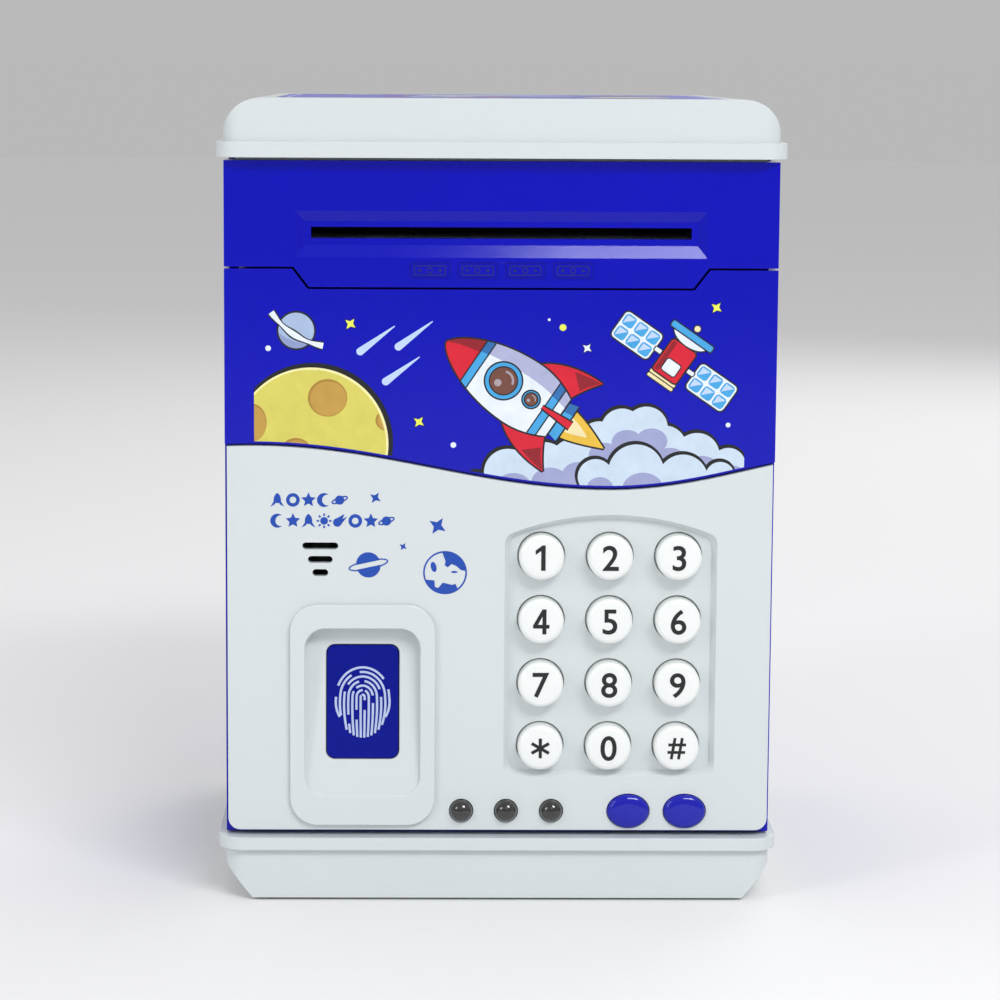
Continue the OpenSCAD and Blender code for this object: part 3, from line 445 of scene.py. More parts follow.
class Print:
    """Flat shapes in one layer on a surface.

    A later shape covers an earlier one, and a window trims them all. Shapes are in millimetres across and up
    the surface, and place turns such a point into metres.
    """

    def __init__(self, name, body, place, window=None):
        self.name, self.body, self.place = name, body, place
        self.shapes = []
        self.trimmed = window is not None
        if self.trimmed:
            self.fill(window, None)

    def fill(self, points, material):
        distinct = [p for i, p in enumerate(points) if math.dist(p, points[i - 1]) > 1e-3]
        self.shapes.append((distinct, material))

    def stroke(self, points, width, material, closed=False, taper=None):
        """A line of even width, or of one that taper scales from its start (0) to its end (1)."""
        count = len(points)
        rails = []
        for i, (u, v) in enumerate(points):
            before = points[i - 1] if closed or i else points[i]
            after = points[(i + 1) % count] if closed or i < count - 1 else points[i]
            half = width / 2 * (taper(i / (count - 1)) if taper else 1) / math.dist(before, after)
            side = ((before[1] - after[1]) * half, (after[0] - before[0]) * half)
            rails.append(((u - side[0], v - side[1]), (u + side[0], v + side[1])))
        for i in range(count if closed else count - 1):
            (a, b), (c, d) = rails[i], rails[(i + 1) % count]
            self.fill([a, c, d, b], material)

    def outlined(self, points, material, line=0.45):
        self.stroke(points, 2 * line, BLACK, closed=True)
        self.fill(points, material)

    def finish(self):
        corners, edges = [], []
        for points, _ in self.shapes:
            first, count = len(corners), len(points)
            corners += [Vector(p) for p in points]
            edges += [(first + i, first + (i + 1) % count) for i in range(count)]
        spots, _, cells, _, _, _ = geometry.delaunay_2d_cdt(corners, edges, [], 0, 1e-4, False)
        middles = numpy.array([[sum(spots[i][k] for i in cell) / len(cell) for k in (0, 1)]
                               for cell in cells])
        owners = numpy.full(len(cells), -1)
        for index, (points, _) in enumerate(self.shapes):
            owners[covered(points, middles)] = index
        if self.trimmed:
            outside = numpy.full(len(cells), True)
            outside[covered(self.shapes[0][0], middles)] = False
            owners[outside] = -1
        inks, build = [], bmesh.new()
        verts = [build.verts.new(self.place(spot.x, spot.y, LIFT)) for spot in spots]
        outward = self.place(0, 0, LIFT) - self.place(0, 0, 0)
        for cell, owner in zip(cells, owners):
            material = self.shapes[owner][1] if owner >= 0 else None
            if material is None:
                continue
            face = build.faces.new([verts[i] for i in cell])
            face.normal_update()
            if face.normal.dot(outward) < 0:
                face.normal_flip()
            if material not in inks:
                inks.append(material)
            face.material_index = inks.index(material)
        bmesh.ops.delete(build, geom=[v for v in build.verts if not v.link_faces], context="VERTS")
        bmesh.ops.dissolve_limit(build, angle_limit=0.001, verts=build.verts, edges=build.edges,
                                 delimit={"MATERIAL"})
        mesh = bpy.data.meshes.new(self.name)
        build.to_mesh(mesh)
        build.free()
        for material in inks:
            mesh.materials.append(material)
        piece = bpy.data.objects.new(self.name, mesh)
        scene.collection.objects.link(piece)
        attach(piece, self.body)


BLACK = ink("black", 8, 10, 16)
PRINT_BLUE = ink("print_blue", 0, 66, 168)
CLOUD = ink("cloud", 196, 212, 230)
CLOUD_SHADE = ink("cloud_shade", 152, 158, 198)
PALE = ink("pale", 222, 230, 240)
LAVENDER = ink("lavender", 168, 172, 206)
PLANET = ink("planet", 160, 180, 212)
PLANET_SHADE = ink("planet_shade", 136, 150, 194)
MOON = ink("moon", 208, 200, 92)
MOON_RIM = ink("moon_rim", 236, 230, 168)
CRATER = ink("crater", 188, 148, 66)
CRATER_RIM = ink("crater_rim", 166, 126, 50)
LIME = ink("lime", 226, 232, 90)
COMET = ink("comet", 186, 206, 242)
WINDOW = ink("window", 110, 66, 54)
GLINT = ink("glint", 164, 152, 160)
RED = ink("red", 206, 12, 44)
RED_SHADE = ink("red_shade", 140, 10, 30)
SKY = ink("sky", 62, 158, 216)
SKY_SHADE = ink("sky_shade", 38, 104, 168)
GOLD = ink("gold", 226, 184, 60)
CREAM = ink("cream", 236, 220, 170)
PAD_LINE = ink("pad_line", 176, 188, 222)
CHIP_BLUE = ink("chip_blue", 2, 8, 108)


def draw_star(sheet, x, y, r, tone):
    """A four-pointed star, leaning a little, with a dark outline."""
    lean, line = 8, 0.35
    sheet.fill(turned(star(r + line), x, y, lean), BLACK)
    sheet.fill(turned(star(r), x, y, lean), tone)


def draw_comet(sheet, head, tip):
    """A round head with a tail that narrows towards the tip."""
    radius, tip_half = 0.95, 0.12
    angle = math.degrees(math.atan2(tip[1] - head[1], tip[0] - head[0]))
    length = math.dist(head, tip)
    outline = ellipse(0, 0, radius, start=90, end=270, count=14) + [(length, -tip_half), (length, tip_half)]
    sheet.fill(turned(outline, *head, angle), COMET)


def draw_ringed_planet(sheet, x, y, r, lean=-33.0):
    """A shaded disc with a ring that is widest where it crosses the front and at its ends."""
    sheet.fill(ellipse(x, y, r + 0.45), BLACK)
    sheet.fill(ellipse(x, y, r), PLANET)
    dark_side = ellipse(0, 0, r, start=185, end=335) + curve((0.9 * r, -0.42 * r), (0, -0.95 * r),
                                                             (-r, -0.1 * r), 12)
    sheet.fill(turned(dark_side, x, y), PLANET_SHADE)
    ring = turned(curve((-1.72 * r, 0.1 * r), (0, -0.62 * r), (1.72 * r, 0.1 * r), 24), x, y, lean)
    sheet.stroke(ring, 0.52 * r, BLACK, taper=lambda t: 0.6 + 0.4 * math.cos(2 * math.pi * t) ** 2)
    sheet.stroke(ring, 0.34 * r, PALE, taper=lambda t: 0.55 + 0.45 * math.cos(2 * math.pi * t) ** 2)


def draw_moon(sheet, x, y, r, craters):
    """A disc with a light rim and a dark edge, heavier to the upper right.

    Craters are (x, y, rx, ry) in shares of the radius, and none reaches past the rim.
    """
    rim = 0.96
    sheet.fill(ellipse(x + 0.02 * r, y + 0.02 * r, 1.04 * r, count=96), BLACK)
    sheet.fill(ellipse(x, y, r, count=96), MOON_RIM)
    sheet.fill(ellipse(x - 0.005 * r, y - 0.005 * r, 0.975 * r, count=96), MOON)
    for cx, cy, rx, ry in craters:
        for shift, inset, tone in ((0, 0, CRATER_RIM), (0.01, 0.02, CRATER)):
            bowl = ellipse(cx + shift, cy - shift, rx - inset, ry - inset)
            pulls = [max(1, math.hypot(u, v) / rim) for u, v in bowl]
            kept = [(u / pull, v / pull) for (u, v), pull in zip(bowl, pulls)]
            sheet.fill(turned(kept, x, y, 0, r), tone)


def draw_cloud(sheet, lobes):
    """Round lobes (x, y, r) with one dark outline, heavier on top, each with a shaded foot."""
    line = 0.55
    for x, y, r in lobes:
        sheet.fill(ellipse(x - 0.2, y + 0.35, r + line), BLACK)
    for x, y, r in lobes:
        sheet.fill(ellipse(x, y, r), CLOUD)
    for x, y, r in lobes:
        sheet.fill(ellipse(x + 0.25 * r, y - 0.62 * r, 0.74 * r, 0.6 * r), CLOUD_SHADE)


def draw_satellite(sheet, x, y, lean, size=1.0):
    """A box with a dish above, an antenna below and a panel of six cells on each side."""
    def at(points):
        return turned(points, x, y, lean, size)

    for side in (-1, 1):
        sheet.outlined(at(rounded_box(11, 7.4, 1.1, 11.3 * side)), PALE, 0.4)
        for column in (-1, 0, 1):
            for row in (-0.5, 0.5):
                cx, cy = 11.3 * side + 3.55 * column, 3.55 * row
                sheet.fill(at(rounded_box(3.05, 3.05, 0.8, cx, cy)), SKY)
                sheet.fill(at([(cx - 1.1, cy + 1.1), (cx + 1.2, cy + 1.1), (cx - 1.1, cy - 1.2)]), COMET)
        sheet.outlined(at(rounded_box(1.8, 1.0, 0.2, 4.9 * side)), PALE, 0.3)
    sheet.outlined(at(rounded_box(6, 0.8, 0.3, 0, 4.9)), CREAM, 0.3)
    for row in (-6.1, -5.0):
        sheet.outlined(at(rounded_box(7.4, 0.8, 0.3, 0, row)), CREAM, 0.3)
    sheet.outlined(at(rounded_box(7, 9, 0.7)), RED, 0.4)
    sheet.fill(at(rounded_box(1.2, 8.4, 0.3, -2.6)), RED_SHADE)
    sheet.outlined(at(rounded_box(3.8, 3.2, 0.5, 0.2, -1.7)), PALE, 0.3)
    sheet.outlined(at(ellipse(0, 7.2, 4.8, 2.4, start=180, end=360, count=24)), PALE, 0.35)
    sheet.outlined(at(rounded_box(12, 1.5, 0.4, 0, 7.6)), SKY, 0.35)
    sheet.outlined(at(ellipse(0, 9.8, 0.75, count=20)), CREAM, 0.3)


def draw_rocket(sheet, x, y, lean, size):
    """A plain round-bellied rocket whose nose points along lean."""
    belly, belly_at, nose, tail = 8.6, -2, 21, -13

    def at(points):
        return turned(points, x, y, lean, size)

    def half(u):
        """Half the hull's width at u along its axis."""
        if u > belly_at:
            return belly * max(0.0, 1 - ((u - belly_at) / (nose - belly_at)) ** 2) ** 0.72
        return belly - 3.0 * ((u - belly_at) / (tail - belly_at)) ** 2

    def hull(u0, u1, low=-1.0, high=1.0, count=20):
        """Part of the hull from u0 to u1, between two shares of its half width."""
        steps = [u0 + (u1 - u0) * i / count for i in range(count + 1)]
        return at([(u, low * half(u)) for u in steps] + [(u, high * half(u)) for u in reversed(steps)])

    flame = curve((-15, 4), (-19, 3.6), (-27, 0), 10) + curve((-27, 0), (-19, -3.6), (-15, -4), 10)
    flame_core = curve((-15, 2.2), (-18, 2), (-22, 0), 10) + curve((-22, 0), (-18, -2), (-15, -2.2), 10)
    sheet.outlined(at(flame), GOLD)
    sheet.fill(at(flame_core), CREAM)
    for s in (-1, 1):
        fin = (curve((-1, 8 * s), (-7, 13.6 * s), (-17.5, 13.4 * s), 10)
               + curve((-17.5, 13.4 * s), (-14, 9 * s), (-12.5, 5 * s), 10))
        fin_shade = (curve((-10, 11.9 * s), (-14, 13 * s), (-17.2, 13.2 * s), 8)
                     + curve((-17.2, 13.2 * s), (-14.6, 10.6 * s), (-13.8, 8.6 * s), 8))
        sheet.outlined(at(fin), RED)
        sheet.fill(at(fin_shade), RED_SHADE)
    sheet.outlined(at([(-12.6, -4.4), (-15.8, -5.2), (-15.8, 5.2), (-12.6, 4.4)]), SKY)
    sheet.fill(at([(-12.6, -4.4), (-15.8, -5.2), (-15.8, -2.4), (-12.6, -2)]), SKY_SHADE)
    sheet.outlined(hull(-13, 20.9, count=40), PALE)
    sheet.fill(hull(-13, 20.5, -1, -0.52, 40), LAVENDER)
    sheet.fill(hull(12.4, 20.9), RED)
    sheet.fill(hull(12.4, 20.5, -1, -0.45), RED_SHADE)
    for u0, u1 in ((10.6, 12.4), (-10.6, -8.8)):
        sheet.stroke(hull(u0, u1), 0.7, BLACK, closed=True)
        sheet.fill(hull(u0, u1), SKY)
        sheet.fill(hull(u0, u1, -1, -0.5), SKY_SHADE)
    for u, r in ((3.6, 4.6), (-4.8, 2.1)):
        sheet.outlined(at(ellipse(u, 0, r)), SKY, 0.4)
        sheet.outlined(at(ellipse(u, 0, 0.74 * r)), WINDOW, 0.3)
        sheet.fill(at(ellipse(u + 0.2 * r, 0.26 * r, 0.2 * r, count=20)), GLINT)
        sheet.stroke(at(ellipse(u, 0, 0.52 * r, start=190, end=290, count=14)), 0.12 * r, GLINT)
    sheet.outlined(at([(-8.2, -0.3), (-16.8, -1.0), (-16.8, 1.0), (-8.2, 0.3)]), RED, 0.4)


def box_mm(node):
    low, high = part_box(node)
    return low / MM, high / MM


def on_front(y_mm):
    """Places points (x, z) on a plane at y, lifted towards the front."""
    return lambda u, v, lift: Vector((u * MM, y_mm * MM - lift, v * MM))


def on_side(x_mm, sign):
    """Places points (across, up) on the left (-1) or right (+1) side, read from outside."""
    return lambda u, v, lift: Vector((x_mm * MM + sign * lift, sign * u * MM, v * MM))


def on_top(z_mm):
    return lambda u, v, lift: Vector((u * MM, v * MM, z_mm * MM + lift))


# ---------- picture on the door ----------

label_low, label_high = box_mm("art_label")
panel_y = box_mm("door_panel")[0].y
MOON_CRATERS = ((0.21, 0.605, 0.255, 0.245), (-0.77, 0.28, 0.19, 0.247), (0.99, 0.315, 0.16, 0.14),
                (-0.2, -0.1, 0.2, 0.18), (0.4, -0.3, 0.14, 0.13))
LABEL_INSET = 0.3            # bare label left round the print
SEAM_GAP = 0.75              # from the seam up to the label's wavy foot
CLOUD_BEHIND = ((-5.8, 105.2, 3.0), (1.9, 108.2, 5.9), (10.8, 109.6, 6.2), (18, 111, 5.6), (24.4, 115.8, 5.2),
                (30, 119, 5.2), (36, 119.4, 5.3), (40.6, 114.6, 5.4), (48.6, 112.6, 5.6), (56.4, 110.2, 4.3),
                (30, 110, 8), (42, 108, 7))
CLOUD_BEFORE = ((23.6, 107.2, 4.4), (33.6, 108.4, 6.9), (45.2, 106.6, 6.2), (54.4, 107.4, 3.6))


def seam(x):
    """Height of the wavy seam between the blue and the white, with the same numbers as the CAD's."""
    crest, trough, middle, swing, rise_length = -61, 27, 109.3, 5.4, 72
    if x < trough:
        return middle + swing * math.cos(math.pi * (x - crest) / (trough - crest))
    return middle - swing * math.cos(math.pi * (x - trough) / rise_length)


def label_window():
    left, right = label_low.x + LABEL_INSET, label_high.x - LABEL_INSET
    top, count = label_high.z - LABEL_INSET, 60
    steps = [left + (right - left) * i / count for i in range(count + 1)]
    return [(x, seam(x) + SEAM_GAP + LABEL_INSET) for x in steps] + [(right, top), (left, top)]


art = Print("art_print", "door", on_front(label_low.y), label_window())
for x, z, r, tone in ((-57.2, 138.8, 0.7, PALE), (15.2, 144.2, 0.85, LIME), (11.8, 146.1, 0.35, PALE),
                      (56.2, 120.2, 0.6, PALE), (-11.6, 115.0, 0.7, PALE)):
    art.fill(ellipse(x, z, r, count=20), tone)
for x, z, r, tone in ((-37.0, 144.9, 1.55, LIME), (-20.1, 120.7, 1.5, LIME), (52.9, 149.2, 1.5, LIME),
                      (21.2, 139.1, 1.3, PALE)):
    draw_star(art, x, z, r, tone)
for head, tip in (((-34.6, 138.1), (-26.1, 144.4)), ((-25.2, 139.3), (-16.8, 145.6)),
                  ((-28.3, 130.7), (-20.0, 136.8))):
    draw_comet(art, head, tip)
draw_ringed_planet(art, -50.3, 143.2, 4.4)
draw_moon(art, -46.6, 115.1, 19.0, MOON_CRATERS)
draw_satellite(art, 42.7, 135.9, -34.8)
draw_cloud(art, CLOUD_BEHIND)
draw_rocket(art, 3.6, 129.0, 146, 0.98)
draw_cloud(art, CLOUD_BEFORE)
art.finish()


# ---------- labels on the sides and the top ----------

side_low, side_high = box_mm("side_labels")
top_low, top_high = box_mm("top_label")


def draw_side(sheet):
    """Space picture of a side label, about its middle; the same for both sides, each read from outside."""
    for x, y, r in ((-34, 52, 0.8), (-8, 56, 0.6), (30, 50, 0.8), (36, 18, 0.6), (-30, 8, 0.7), (14, 4, 0.6),
                    (-38, -20, 0.7), (6, -26, 0.6), (34, -18, 0.8)):
        sheet.fill(ellipse(x, y, r, count=16), PALE)
    for x, y, r, tone in ((-20, 36, 1.9, LIME), (34, 34, 1.7, PALE), (-36, -6, 1.8, LIME),
                          (26, -8, 2.0, LIME)):
        draw_star(sheet, x, y, r, tone)
    for head, tip in (((-6, 42), (4, 50)), ((8, 38), (17, 45)), ((-4, 30), (6, 38))):
        draw_comet(sheet, head, tip)
    draw_ringed_planet(sheet, -26, 46, 6.5, -25)
    draw_satellite(sheet, 24, 20, -30, 0.95)
    draw_moon(sheet, -30, -38, 26, MOON_CRATERS)
    draw_rocket(sheet, -4, 6, 125, 1.15)
    draw_cloud(sheet, ((2, -44, 7), (12, -40, 8), (22, -36, 8), (31, -34, 8), (39, -38, 7), (30, -46, 9)))
    draw_cloud(sheet, ((-36, -58, 7), (-26, -56, 8), (-14, -54, 8), (-2, -55, 8), (10, -53, 9),
                       (24, -54, 9), (38, -52, 8), (0, -63, 10), (20, -63, 10), (38, -62, 10),
                       (-20, -63, 10), (-38, -64, 8)))


def side_print(name, sign):
    middle_y, middle_z = (side_low.y + side_high.y) / 2, (side_low.z + side_high.z) / 2
    x = side_high.x if sign > 0 else side_low.x
    width, height = side_high.y - side_low.y, side_high.z - side_low.z
    flat = on_side(x, sign)
    sheet = Print(name, "case", lambda u, v, lift: flat(u + sign * middle_y, v + middle_z, lift),
                  rounded_box(width - 1.2, height - 1.2, 5.4))
    draw_side(sheet)
    sheet.finish()


side_print("side_print_left", -1)
side_print("side_print_right", 1)

COIN_SLOT_Y = 16


def draw_top():
    """Small prints round the coin slot, inside a border line."""
    sheet = Print("top_print", "case", on_top(top_high.z))
    border = rounded_box(106, 98, 5.6, 0, (top_low.y + top_high.y) / 2, 8)
    sheet.stroke(border, 0.6, COMET, closed=True)
    sheet.stroke(rounded_box(48.4, 17.8, 8.89, 0, COIN_SLOT_Y, 12), 0.8, LIME, closed=True)
    draw_ringed_planet(sheet, -36, 34, 6, -25)
    draw_satellite(sheet, 34, 30, -30, 0.8)
    draw_moon(sheet, 33, -24, 11, MOON_CRATERS)
    draw_rocket(sheet, -14, -18, 150, 0.85)
    for x, y, r, tone in ((-42, 8, 1.6, LIME), (42, 6, 1.6, PALE), (-8, 36, 1.4, LIME), (8, -36, 1.7, LIME),
                          (-42, -34, 1.5, PALE)):
        draw_star(sheet, x, y, r, tone)
    for head, tip in (((12, -8), (20, -2)), ((6, -14), (14, -8))):
        draw_comet(sheet, head, tip)
    for x, y, r in ((-24, 40, 0.6), (14, 38, 0.7), (-46, -10, 0.6), (46, -8, 0.6), (-20, -38, 0.7),
                    (20, -40, 0.5)):
        sheet.fill(ellipse(x, y, r, count=16), PALE)
    sheet.finish()


draw_top()


# ---------- blue printing on the white panel ----------

panel_print = Print("panel_print", "door", on_front(panel_y))


def draw_icon(kind, x, z, s):
    """One small pictogram of half size s."""
    def at(points, angle=0.0):
        return turned(points, x, z, angle, s)

    sheet = panel_print
    if kind == "rocket":
        hull = curve((-0.5, -0.45), (-0.65, 0.6), (0, 1), 8) + curve((0, 1), (0.65, 0.6), (0.5, -0.45), 8)
        sheet.fill(at(hull), PRINT_BLUE)
        for side in (-1, 1):
            sheet.fill(at([(side * 0.4, -0.05), (side, -1), (side * 0.3, -0.6)]), PRINT_BLUE)
    elif kind == "ring":
        sheet.stroke(at(ellipse(0, 0, 0.72, count=28)), 0.5 * s, PRINT_BLUE, closed=True)
    elif kind == "moon":
        sheet.fill(at(ellipse(0, 0, 1, start=50, end=310, count=24)
                      + ellipse(0.5, 0, 0.78, start=260, end=100, count=16)), PRINT_BLUE)
    elif kind == "star":
        sheet.fill(at(star(1.08, 5, 0.48, 90)), PRINT_BLUE)
    elif kind == "planet":
        sheet.fill(at(ellipse(0, 0, 0.66, count=24)), PRINT_BLUE)
        sheet.stroke(at(ellipse(0, 0, 1.15, 0.34, 20, count=32)), 0.2 * s, PRINT_BLUE, closed=True)
    elif kind == "comet":
        head = ellipse(-0.4, 0, 0.62, start=60, end=300, count=14)
        sheet.fill(at(head + [(1.25, -0.1), (0.5, 0), (1.15, 0.42)], 35), PRINT_BLUE)
    elif kind == "sun":
        sheet.fill(at(ellipse(0, 0, 0.55, count=20)), PRINT_BLUE)
        for a in range(0, 360, 45):
            sheet.fill(at([(0.7, -0.13), (1.05, -0.13), (1.05, 0.13), (0.7, 0.13)], a), PRINT_BLUE)


ICON_ROWS = ((101.3, ("rocket", "ring", "star", "moon", "planet")),
             (96.1, ("moon", "star", "rocket", "sun", "comet", "ring", "star", "planet")))
ICON_START, ICON_PITCH, ICON_HALF = -55.0, 3.85, 1.75
for row_z, kinds in ICON_ROWS:
    for column, icon in enumerate(kinds):
        draw_icon(icon, ICON_START + ICON_PITCH * column, row_z, ICON_HALF)
for x, z, r in ((-30.8, 101.9, 1.6), (-15.4, 94.9, 2.4), (-23.9, 89.7, 1.1)):
    panel_print.fill(turned(star(r, waist=0.4), x, z, 12), PRINT_BLUE)


def draw_small_planet(x, z, r, lean):
    """A disc split by a thin gap, with a hoop round it."""
    for start in (8, 188):
        half_disc = ellipse(0, 0.18 if start < 90 else -0.18, r, start=start, end=start + 164, count=24)
        panel_print.fill(turned(half_disc, x, z, lean), PRINT_BLUE)
    hoop = ellipse(x, z, 1.62 * r, 0.36 * r, lean, start=120, end=420, count=44)
    panel_print.stroke(hoop, 0.34, PRINT_BLUE)


def draw_globe(x, z, r):
    """A ringed disc with generic patches of land."""
    def at(points):
        return turned(points, x, z, 0, r)

    north = ((0.02, 0.52), (-0.02, 0.34), (0.12, 0.24), (0.3, 0.4), (0.52, 0.3), (0.72, 0.12))
    south = ((0.48, -0.52), (0.3, -0.56), (0.08, -0.5), (-0.1, -0.46), (-0.3, -0.7), (-0.46, -0.66),
             (-0.48, -0.36))
    panel_print.stroke(at(ellipse(0, 0, 0.96, count=56)), 0.42, PRINT_BLUE, closed=True)
    panel_print.fill(at(ellipse(0, 0, 0.94, start=5, end=98, count=20) + list(north)), PRINT_BLUE)
    panel_print.fill(at(ellipse(0, 0, 0.94, start=200, end=308, count=20) + list(south)), PRINT_BLUE)
    panel_print.fill(at(ellipse(-0.52, 0.26, 0.13, 0.24, 14, count=20)), PRINT_BLUE)
    panel_print.fill(at(ellipse(0.42, 0.03, 0.15, 0.05, count=14)), PRINT_BLUE)


draw_small_planet(-32.5, 85.1, 3.0, 12)
draw_globe(-13.5, 83.2, 5.45)
panel_print.finish()


# ---------- marks on the fascia's four small frames ----------

CHIP_PITCH, CHIP_Z = 11.7, 158.1
chips = Print("chip_marks", "case", on_front(box_mm("fascia")[0].y))
for step in (-1.5, -0.5, 0.5, 1.5):
    x, z = step * CHIP_PITCH, CHIP_Z
    chips.stroke(rounded_box(7.6, 2.2, 0.3, x, z), 0.3, CHIP_BLUE, closed=True)
    chips.stroke(ellipse(x, z, 0.62, count=20), 0.25, CHIP_BLUE, closed=True)
    for side in (-1, 1):
        chips.fill(ellipse(x + 2.5 * side, z, 0.4, count=12), CHIP_BLUE)
chips.finish()


# ---------- numerals on the keys ----------

NUMERAL_HEIGHT = 6.3


def text_outline(character):
    """Flat mesh of one character in Blender's own face, slightly thickened."""
    data = bpy.data.curves.new("numeral", "FONT")
    data.body = character
    data.offset = 0.012
    data.resolution_u = 8
    holder = bpy.data.objects.new("numeral_maker", data)
    scene.collection.objects.link(holder)
    bpy.context.view_layer.update()
    depsgraph = bpy.context.evaluated_depsgraph_get()
    mesh = bpy.data.meshes.new_from_object(holder.evaluated_get(depsgraph))
    bpy.data.objects.remove(holder)
    bpy.data.curves.remove(data)
    return mesh


def centre_numeral(mesh, height):
    """Scales the flat outline to height and centres it, in metres."""
    low = [min(v.co[k] for v in mesh.vertices) for k in (0, 1)]
    high = [max(v.co[k] for v in mesh.vertices) for k in (0, 1)]
    scale = height * MM / (high[1] - low[1])
    for vertex in mesh.vertices:
        vertex.co = ((vertex.co.x - (low[0] + high[0]) / 2) * scale,
                     (vertex.co.y - (low[1] + high[1]) / 2) * scale, 0)


def numeral(key, character):
    low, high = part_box(key)
    centre = (low + high) / 2
    mesh = text_outline(character)
    centre_numeral(mesh, NUMERAL_HEIGHT)
    upright = Matrix.Rotation(math.pi / 2, 4, "X")
    mesh.transform(Matrix.Translation((centre.x, low.y - LIFT, centre.z)) @ upright)
    mesh.materials.clear()
    mesh.materials.append(BLACK)
    piece = bpy.data.objects.new("numeral_" + key, mesh)
    scene.collection.objects.link(piece)
    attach(piece, key)


def on_key(key):
    """A print in millimetres about the middle of a key's top."""
    low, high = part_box(key)
    centre = (low + high) / 2
    return Print("numeral_" + key, key, lambda u, v, lift: Vector(
        (centre.x + u * MM, low.y - lift, centre.z + v * MM)))


def symbol(key, lines, width):
    mark = on_key(key)
    for start, end in lines:
        mark.stroke([start, end], width, BLACK)
    mark.finish()


def figure_four(key):
    """Drawn from three strokes, so that its counter stays open."""
    top, bottom = NUMERAL_HEIGHT / 2, -NUMERAL_HEIGHT / 2
    mark = on_key(key)
    mark.stroke([(0.75, bottom), (0.75, top)], 1.0, BLACK)
    mark.stroke([(-2.05, -1.2), (2.0, -1.2)], 0.95, BLACK)
    mark.fill([(0.25, top), (1.25, top), (-0.85, -0.75), (-2.05, -1.6), (-2.05, -0.9)], BLACK)
    mark.finish()


def figure_one(key):
    """The plain built-in 1 has no flag, so this one is drawn."""
    right, stem, flag = 0.9, 0.55, -1.55
    top, bottom = NUMERAL_HEIGHT / 2, -NUMERAL_HEIGHT / 2
    mark = on_key(key)
    mark.fill([(right - 2 * stem, bottom), (right, bottom), (right, top), (right - 1.5 * stem, top),
               (flag, top - 1.25), (flag, top - 2.35), (right - 2 * stem, top - 1.35)], BLACK)
    mark.finish()


figure_one("key_1")
figure_four("key_4")
for digit in "23567890":
    numeral("key_" + digit, digit)
symbol("key_star", [((2.5 * math.cos(a), 2.5 * math.sin(a)), (-2.5 * math.cos(a), -2.5 * math.sin(a)))
                    for a in (math.radians(d) for d in (30, 90, 150))], 0.8)
symbol("key_hash", [((-1.35, -2.7), (-0.45, 2.7)), ((0.45, -2.7), (1.35, 2.7)),
                    ((-2.1, 0.95), (2.3, 0.95)), ((-2.3, -0.95), (2.1, -0.95))], 0.72)


# ---------- fingerprint print on the pad ----------

pad_low, pad_high = box_mm("fingerprint_pad")
PAD_LEAN = math.radians(5)
PAD_FOOT = (-60.95, 26.8)       # y and z of the leaning floor's bottom edge
PAD_UP = 23.5                   # up the floor to the pad's middle
PAD_PROUD = 0.2                 # the pad's face stands this far off the floor
RIDGES = 7
RIDGE_FIRST, RIDGE_STEP = 0.5, 1.02      # half width of the first ridge, and what each next one adds
RIDGE_LINE = 0.56
MARK_HALF = (7.0, 9.0)          # half width and half height of the whole mark
CROWN = 1.2                     # height of the ridges' common centre above the pad's middle


def on_pad(u, v, lift):
    depth = -PAD_PROUD - lift / MM
    up = PAD_UP + v
    centre_x = (pad_low.x + pad_high.x) / 2
    return Vector((centre_x + u, PAD_FOOT[0] + depth * math.cos(PAD_LEAN) + up * math.sin(PAD_LEAN),
                   PAD_FOOT[1] - depth * math.sin(PAD_LEAN) + up * math.cos(PAD_LEAN))) * MM


def ridge_path(rx):
    """An arch over the centre with legs that run down to the mark's round outline."""
    foot = -MARK_HALF[1] * math.sqrt(1 - (rx / (MARK_HALF[0] + 0.3)) ** 2)
    arch = ellipse(0, CROWN, rx, rx * 1.12, count=24, end=180)
    return curve((rx * 0.86, foot), (rx * 1.06, 0.4 * foot), arch[0], 12)[:-1] + arch + curve(
        arch[-1], (-rx * 1.06, 0.4 * foot), (-rx * 0.86, foot), 12)[1:]


finger = Print("fingerprint_mark", "finger_pad", on_pad)
for ridge in range(RIDGES):
    path = ridge_path(RIDGE_FIRST + RIDGE_STEP * ridge)
    gap = 9 + (13 * ridge) % 24          # two short gaps break each ridge at changing places
    for part in (path[:gap], path[gap + 2:gap + 19], path[gap + 21:]):
        if len(part) > 2:
            finger.stroke(part, RIDGE_LINE, PAD_LINE)
finger.finish()


# ---------- domed oval buttons ----------

DOME_SIDES = 64
DOME_RISE = 1.5 * MM            # height of the rounded top
DOME_FULLNESS = 0.55            # the smaller, the fuller the cushion near its rim
FLANGE_REACH = (1.0 * MM, 0.5 * MM)      # past the dome, across and up
FLANGE_THICK = 1.9 * MM


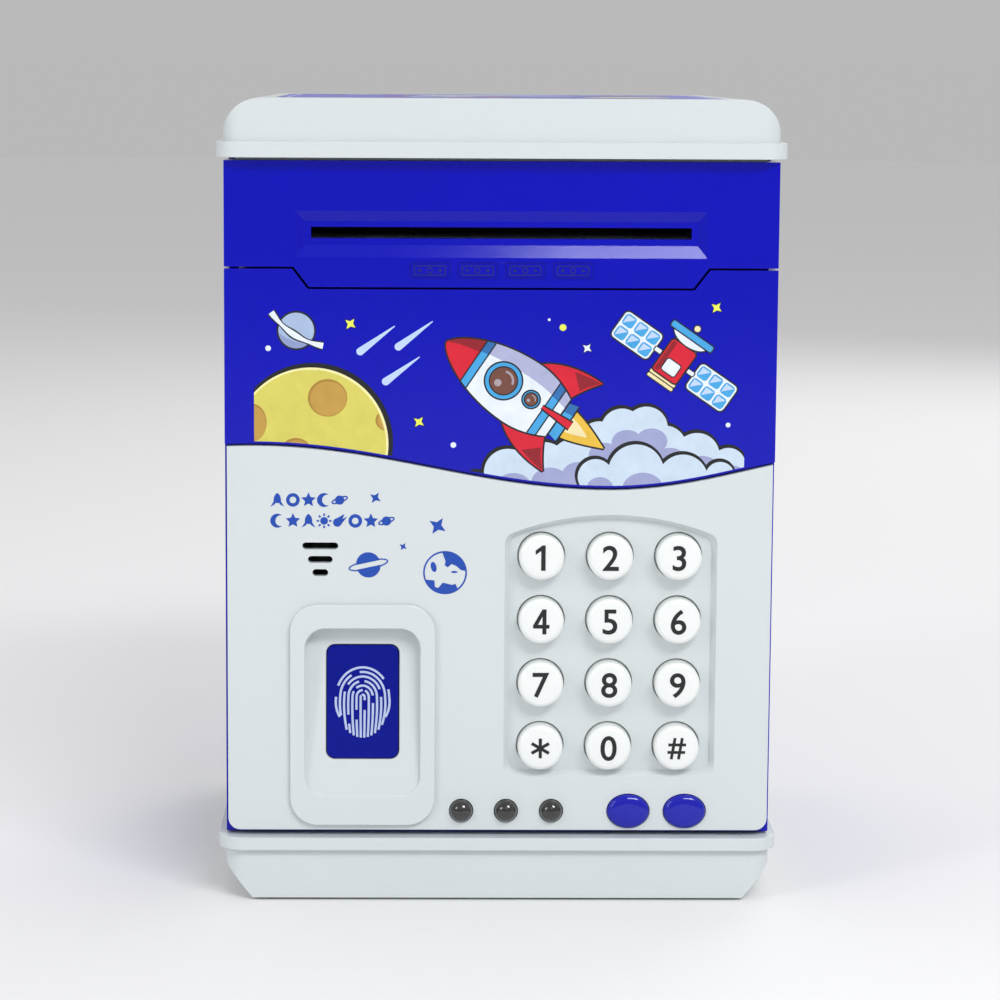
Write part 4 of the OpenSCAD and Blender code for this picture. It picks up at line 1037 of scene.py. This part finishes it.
def oval_dome(node, body):
    """A smooth cushion-topped oval on the CAD button's own flange."""
    low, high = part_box(node)
    centre = (low + high) / 2
    half_w = (high.x - low.x) / 2 - FLANGE_REACH[0]
    half_h = (high.z - low.z) / 2 - FLANGE_REACH[1]
    flange = 1.0 + FLANGE_REACH[0] / half_w
    flange_y = high.y - FLANGE_THICK
    profile = [(flange, high.y), (flange, flange_y), (1.0, flange_y), (1.0, low.y + DOME_RISE)]
    for a in (math.radians(degrees) for degrees in range(12, 90, 9)):
        profile.append((math.cos(a) ** DOME_FULLNESS, low.y + DOME_RISE * (1 - math.sin(a))))
    angles = [2 * math.pi * i / DOME_SIDES for i in range(DOME_SIDES)]
    build = bmesh.new()
    rings = [[build.verts.new((centre.x + half_w * grow * math.cos(a), y,
                               centre.z + half_h * grow * math.sin(a))) for a in angles]
             for grow, y in profile]
    for first, second in zip(rings, rings[1:]):
        for i in range(DOME_SIDES):
            build.faces.new((first[i - 1], first[i], second[i], second[i - 1]))
    tip = build.verts.new((centre.x, low.y, centre.z))
    for i in range(DOME_SIDES):
        build.faces.new((rings[-1][i - 1], rings[-1][i], tip))
    build.faces.new(rings[0])
    bmesh.ops.recalc_face_normals(build, faces=build.faces)
    mesh = bpy.data.meshes.new(node + "_dome")
    build.to_mesh(mesh)
    build.free()
    mesh.polygons.foreach_set("use_smooth", [True] * len(mesh.polygons))
    mesh.materials.append(button_blue)
    piece = bpy.data.objects.new(node + "_dome", mesh)
    scene.collection.objects.link(piece)
    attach(piece, body)
    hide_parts(node)


oval_dome("oval_button_1", "oval_1")
oval_dome("oval_button_2", "oval_2")


# ---------- screw heads ----------

HEAD_RISE = 0.6 * MM
HEAD_PROFILE = ((1, -0.2), (1, 0.3), (0.93, 0.75), (0.8, 1))      # shares of the radius and of the rise
CROSS_ARM, CROSS_HALF = 0.62, 0.14       # length and half width of the recess's arms, shares of the radius
CROSS_TAPER, CROSS_BED = 0.85, 0.2       # its size at the bed, and the bed's height as a share of the rise


def pan_head(build, centre, r):
    """A pan head with a cross recess, facing +Y, standing above its centre by its rise."""
    def loop(points, share):
        return [build.verts.new((centre[0] + u, centre[1] + share * HEAD_RISE, centre[2] + v))
                for u, v in points]

    arm, half = CROSS_ARM * r, CROSS_HALF * r
    quarter = [(arm, -half), (arm, half), (half, half)]
    cross = [p for turn in range(4) for p in turned(quarter, 0, 0, 90 * turn)]
    rings = [loop(ellipse(0, 0, share * r, count=28), height) for share, height in HEAD_PROFILE]
    mouth, bed = loop(cross, 1), loop([(CROSS_TAPER * u, CROSS_TAPER * v) for u, v in cross], CROSS_BED)
    for outer, inner in list(zip(rings, rings[1:])) + [(mouth, bed)]:
        for i in range(len(outer)):
            j = (i + 1) % len(outer)
            build.faces.new((outer[i], outer[j], inner[j], inner[i]))
    build.faces.new(bed)
    rims = [build.edges.get((ring[i], ring[i - 1])) for ring in (rings[-1], mouth) for i in range(len(ring))]
    bmesh.ops.triangle_fill(build, edges=rims, use_beauty=True)


def screw_heads(name, body, centres, r):
    build = bmesh.new()
    for centre in centres:
        pan_head(build, centre, r)
    bmesh.ops.recalc_face_normals(build, faces=build.faces)
    mesh = bpy.data.meshes.new(name)
    build.to_mesh(mesh)
    build.free()
    mesh.materials.append(steel)
    piece = bpy.data.objects.new(name, mesh)
    scene.collection.objects.link(piece)
    edge = piece.modifiers.new("edge", "BEVEL")
    edge.width = 0.06 * MM
    edge.segments = 2
    edge.angle_limit = math.radians(35)
    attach(piece, body)


def flush(node, positions):
    """Centres (x, y, z) in metres on the rear face of a node, from (x, z) in millimetres."""
    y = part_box(node)[1].y
    return [(x * MM, y, z * MM) for x, z in positions]


battery_low, battery_high = box_mm("battery_screw")
BATTERY_SCREW = (0, (battery_low.z + battery_high.z) / 2)
DOOR_SCREWS = ((-55, 24), (-55, 148), (0, 147), (61.5, 146), (61.5, 24))      # the CAD's own places
screw_heads("battery_screw_head", "cover", flush("battery_screw", [BATTERY_SCREW]), 2.6 * MM)
screw_heads("door_screw_heads", "door", flush("door_screws", DOOR_SCREWS), 2.3 * MM)
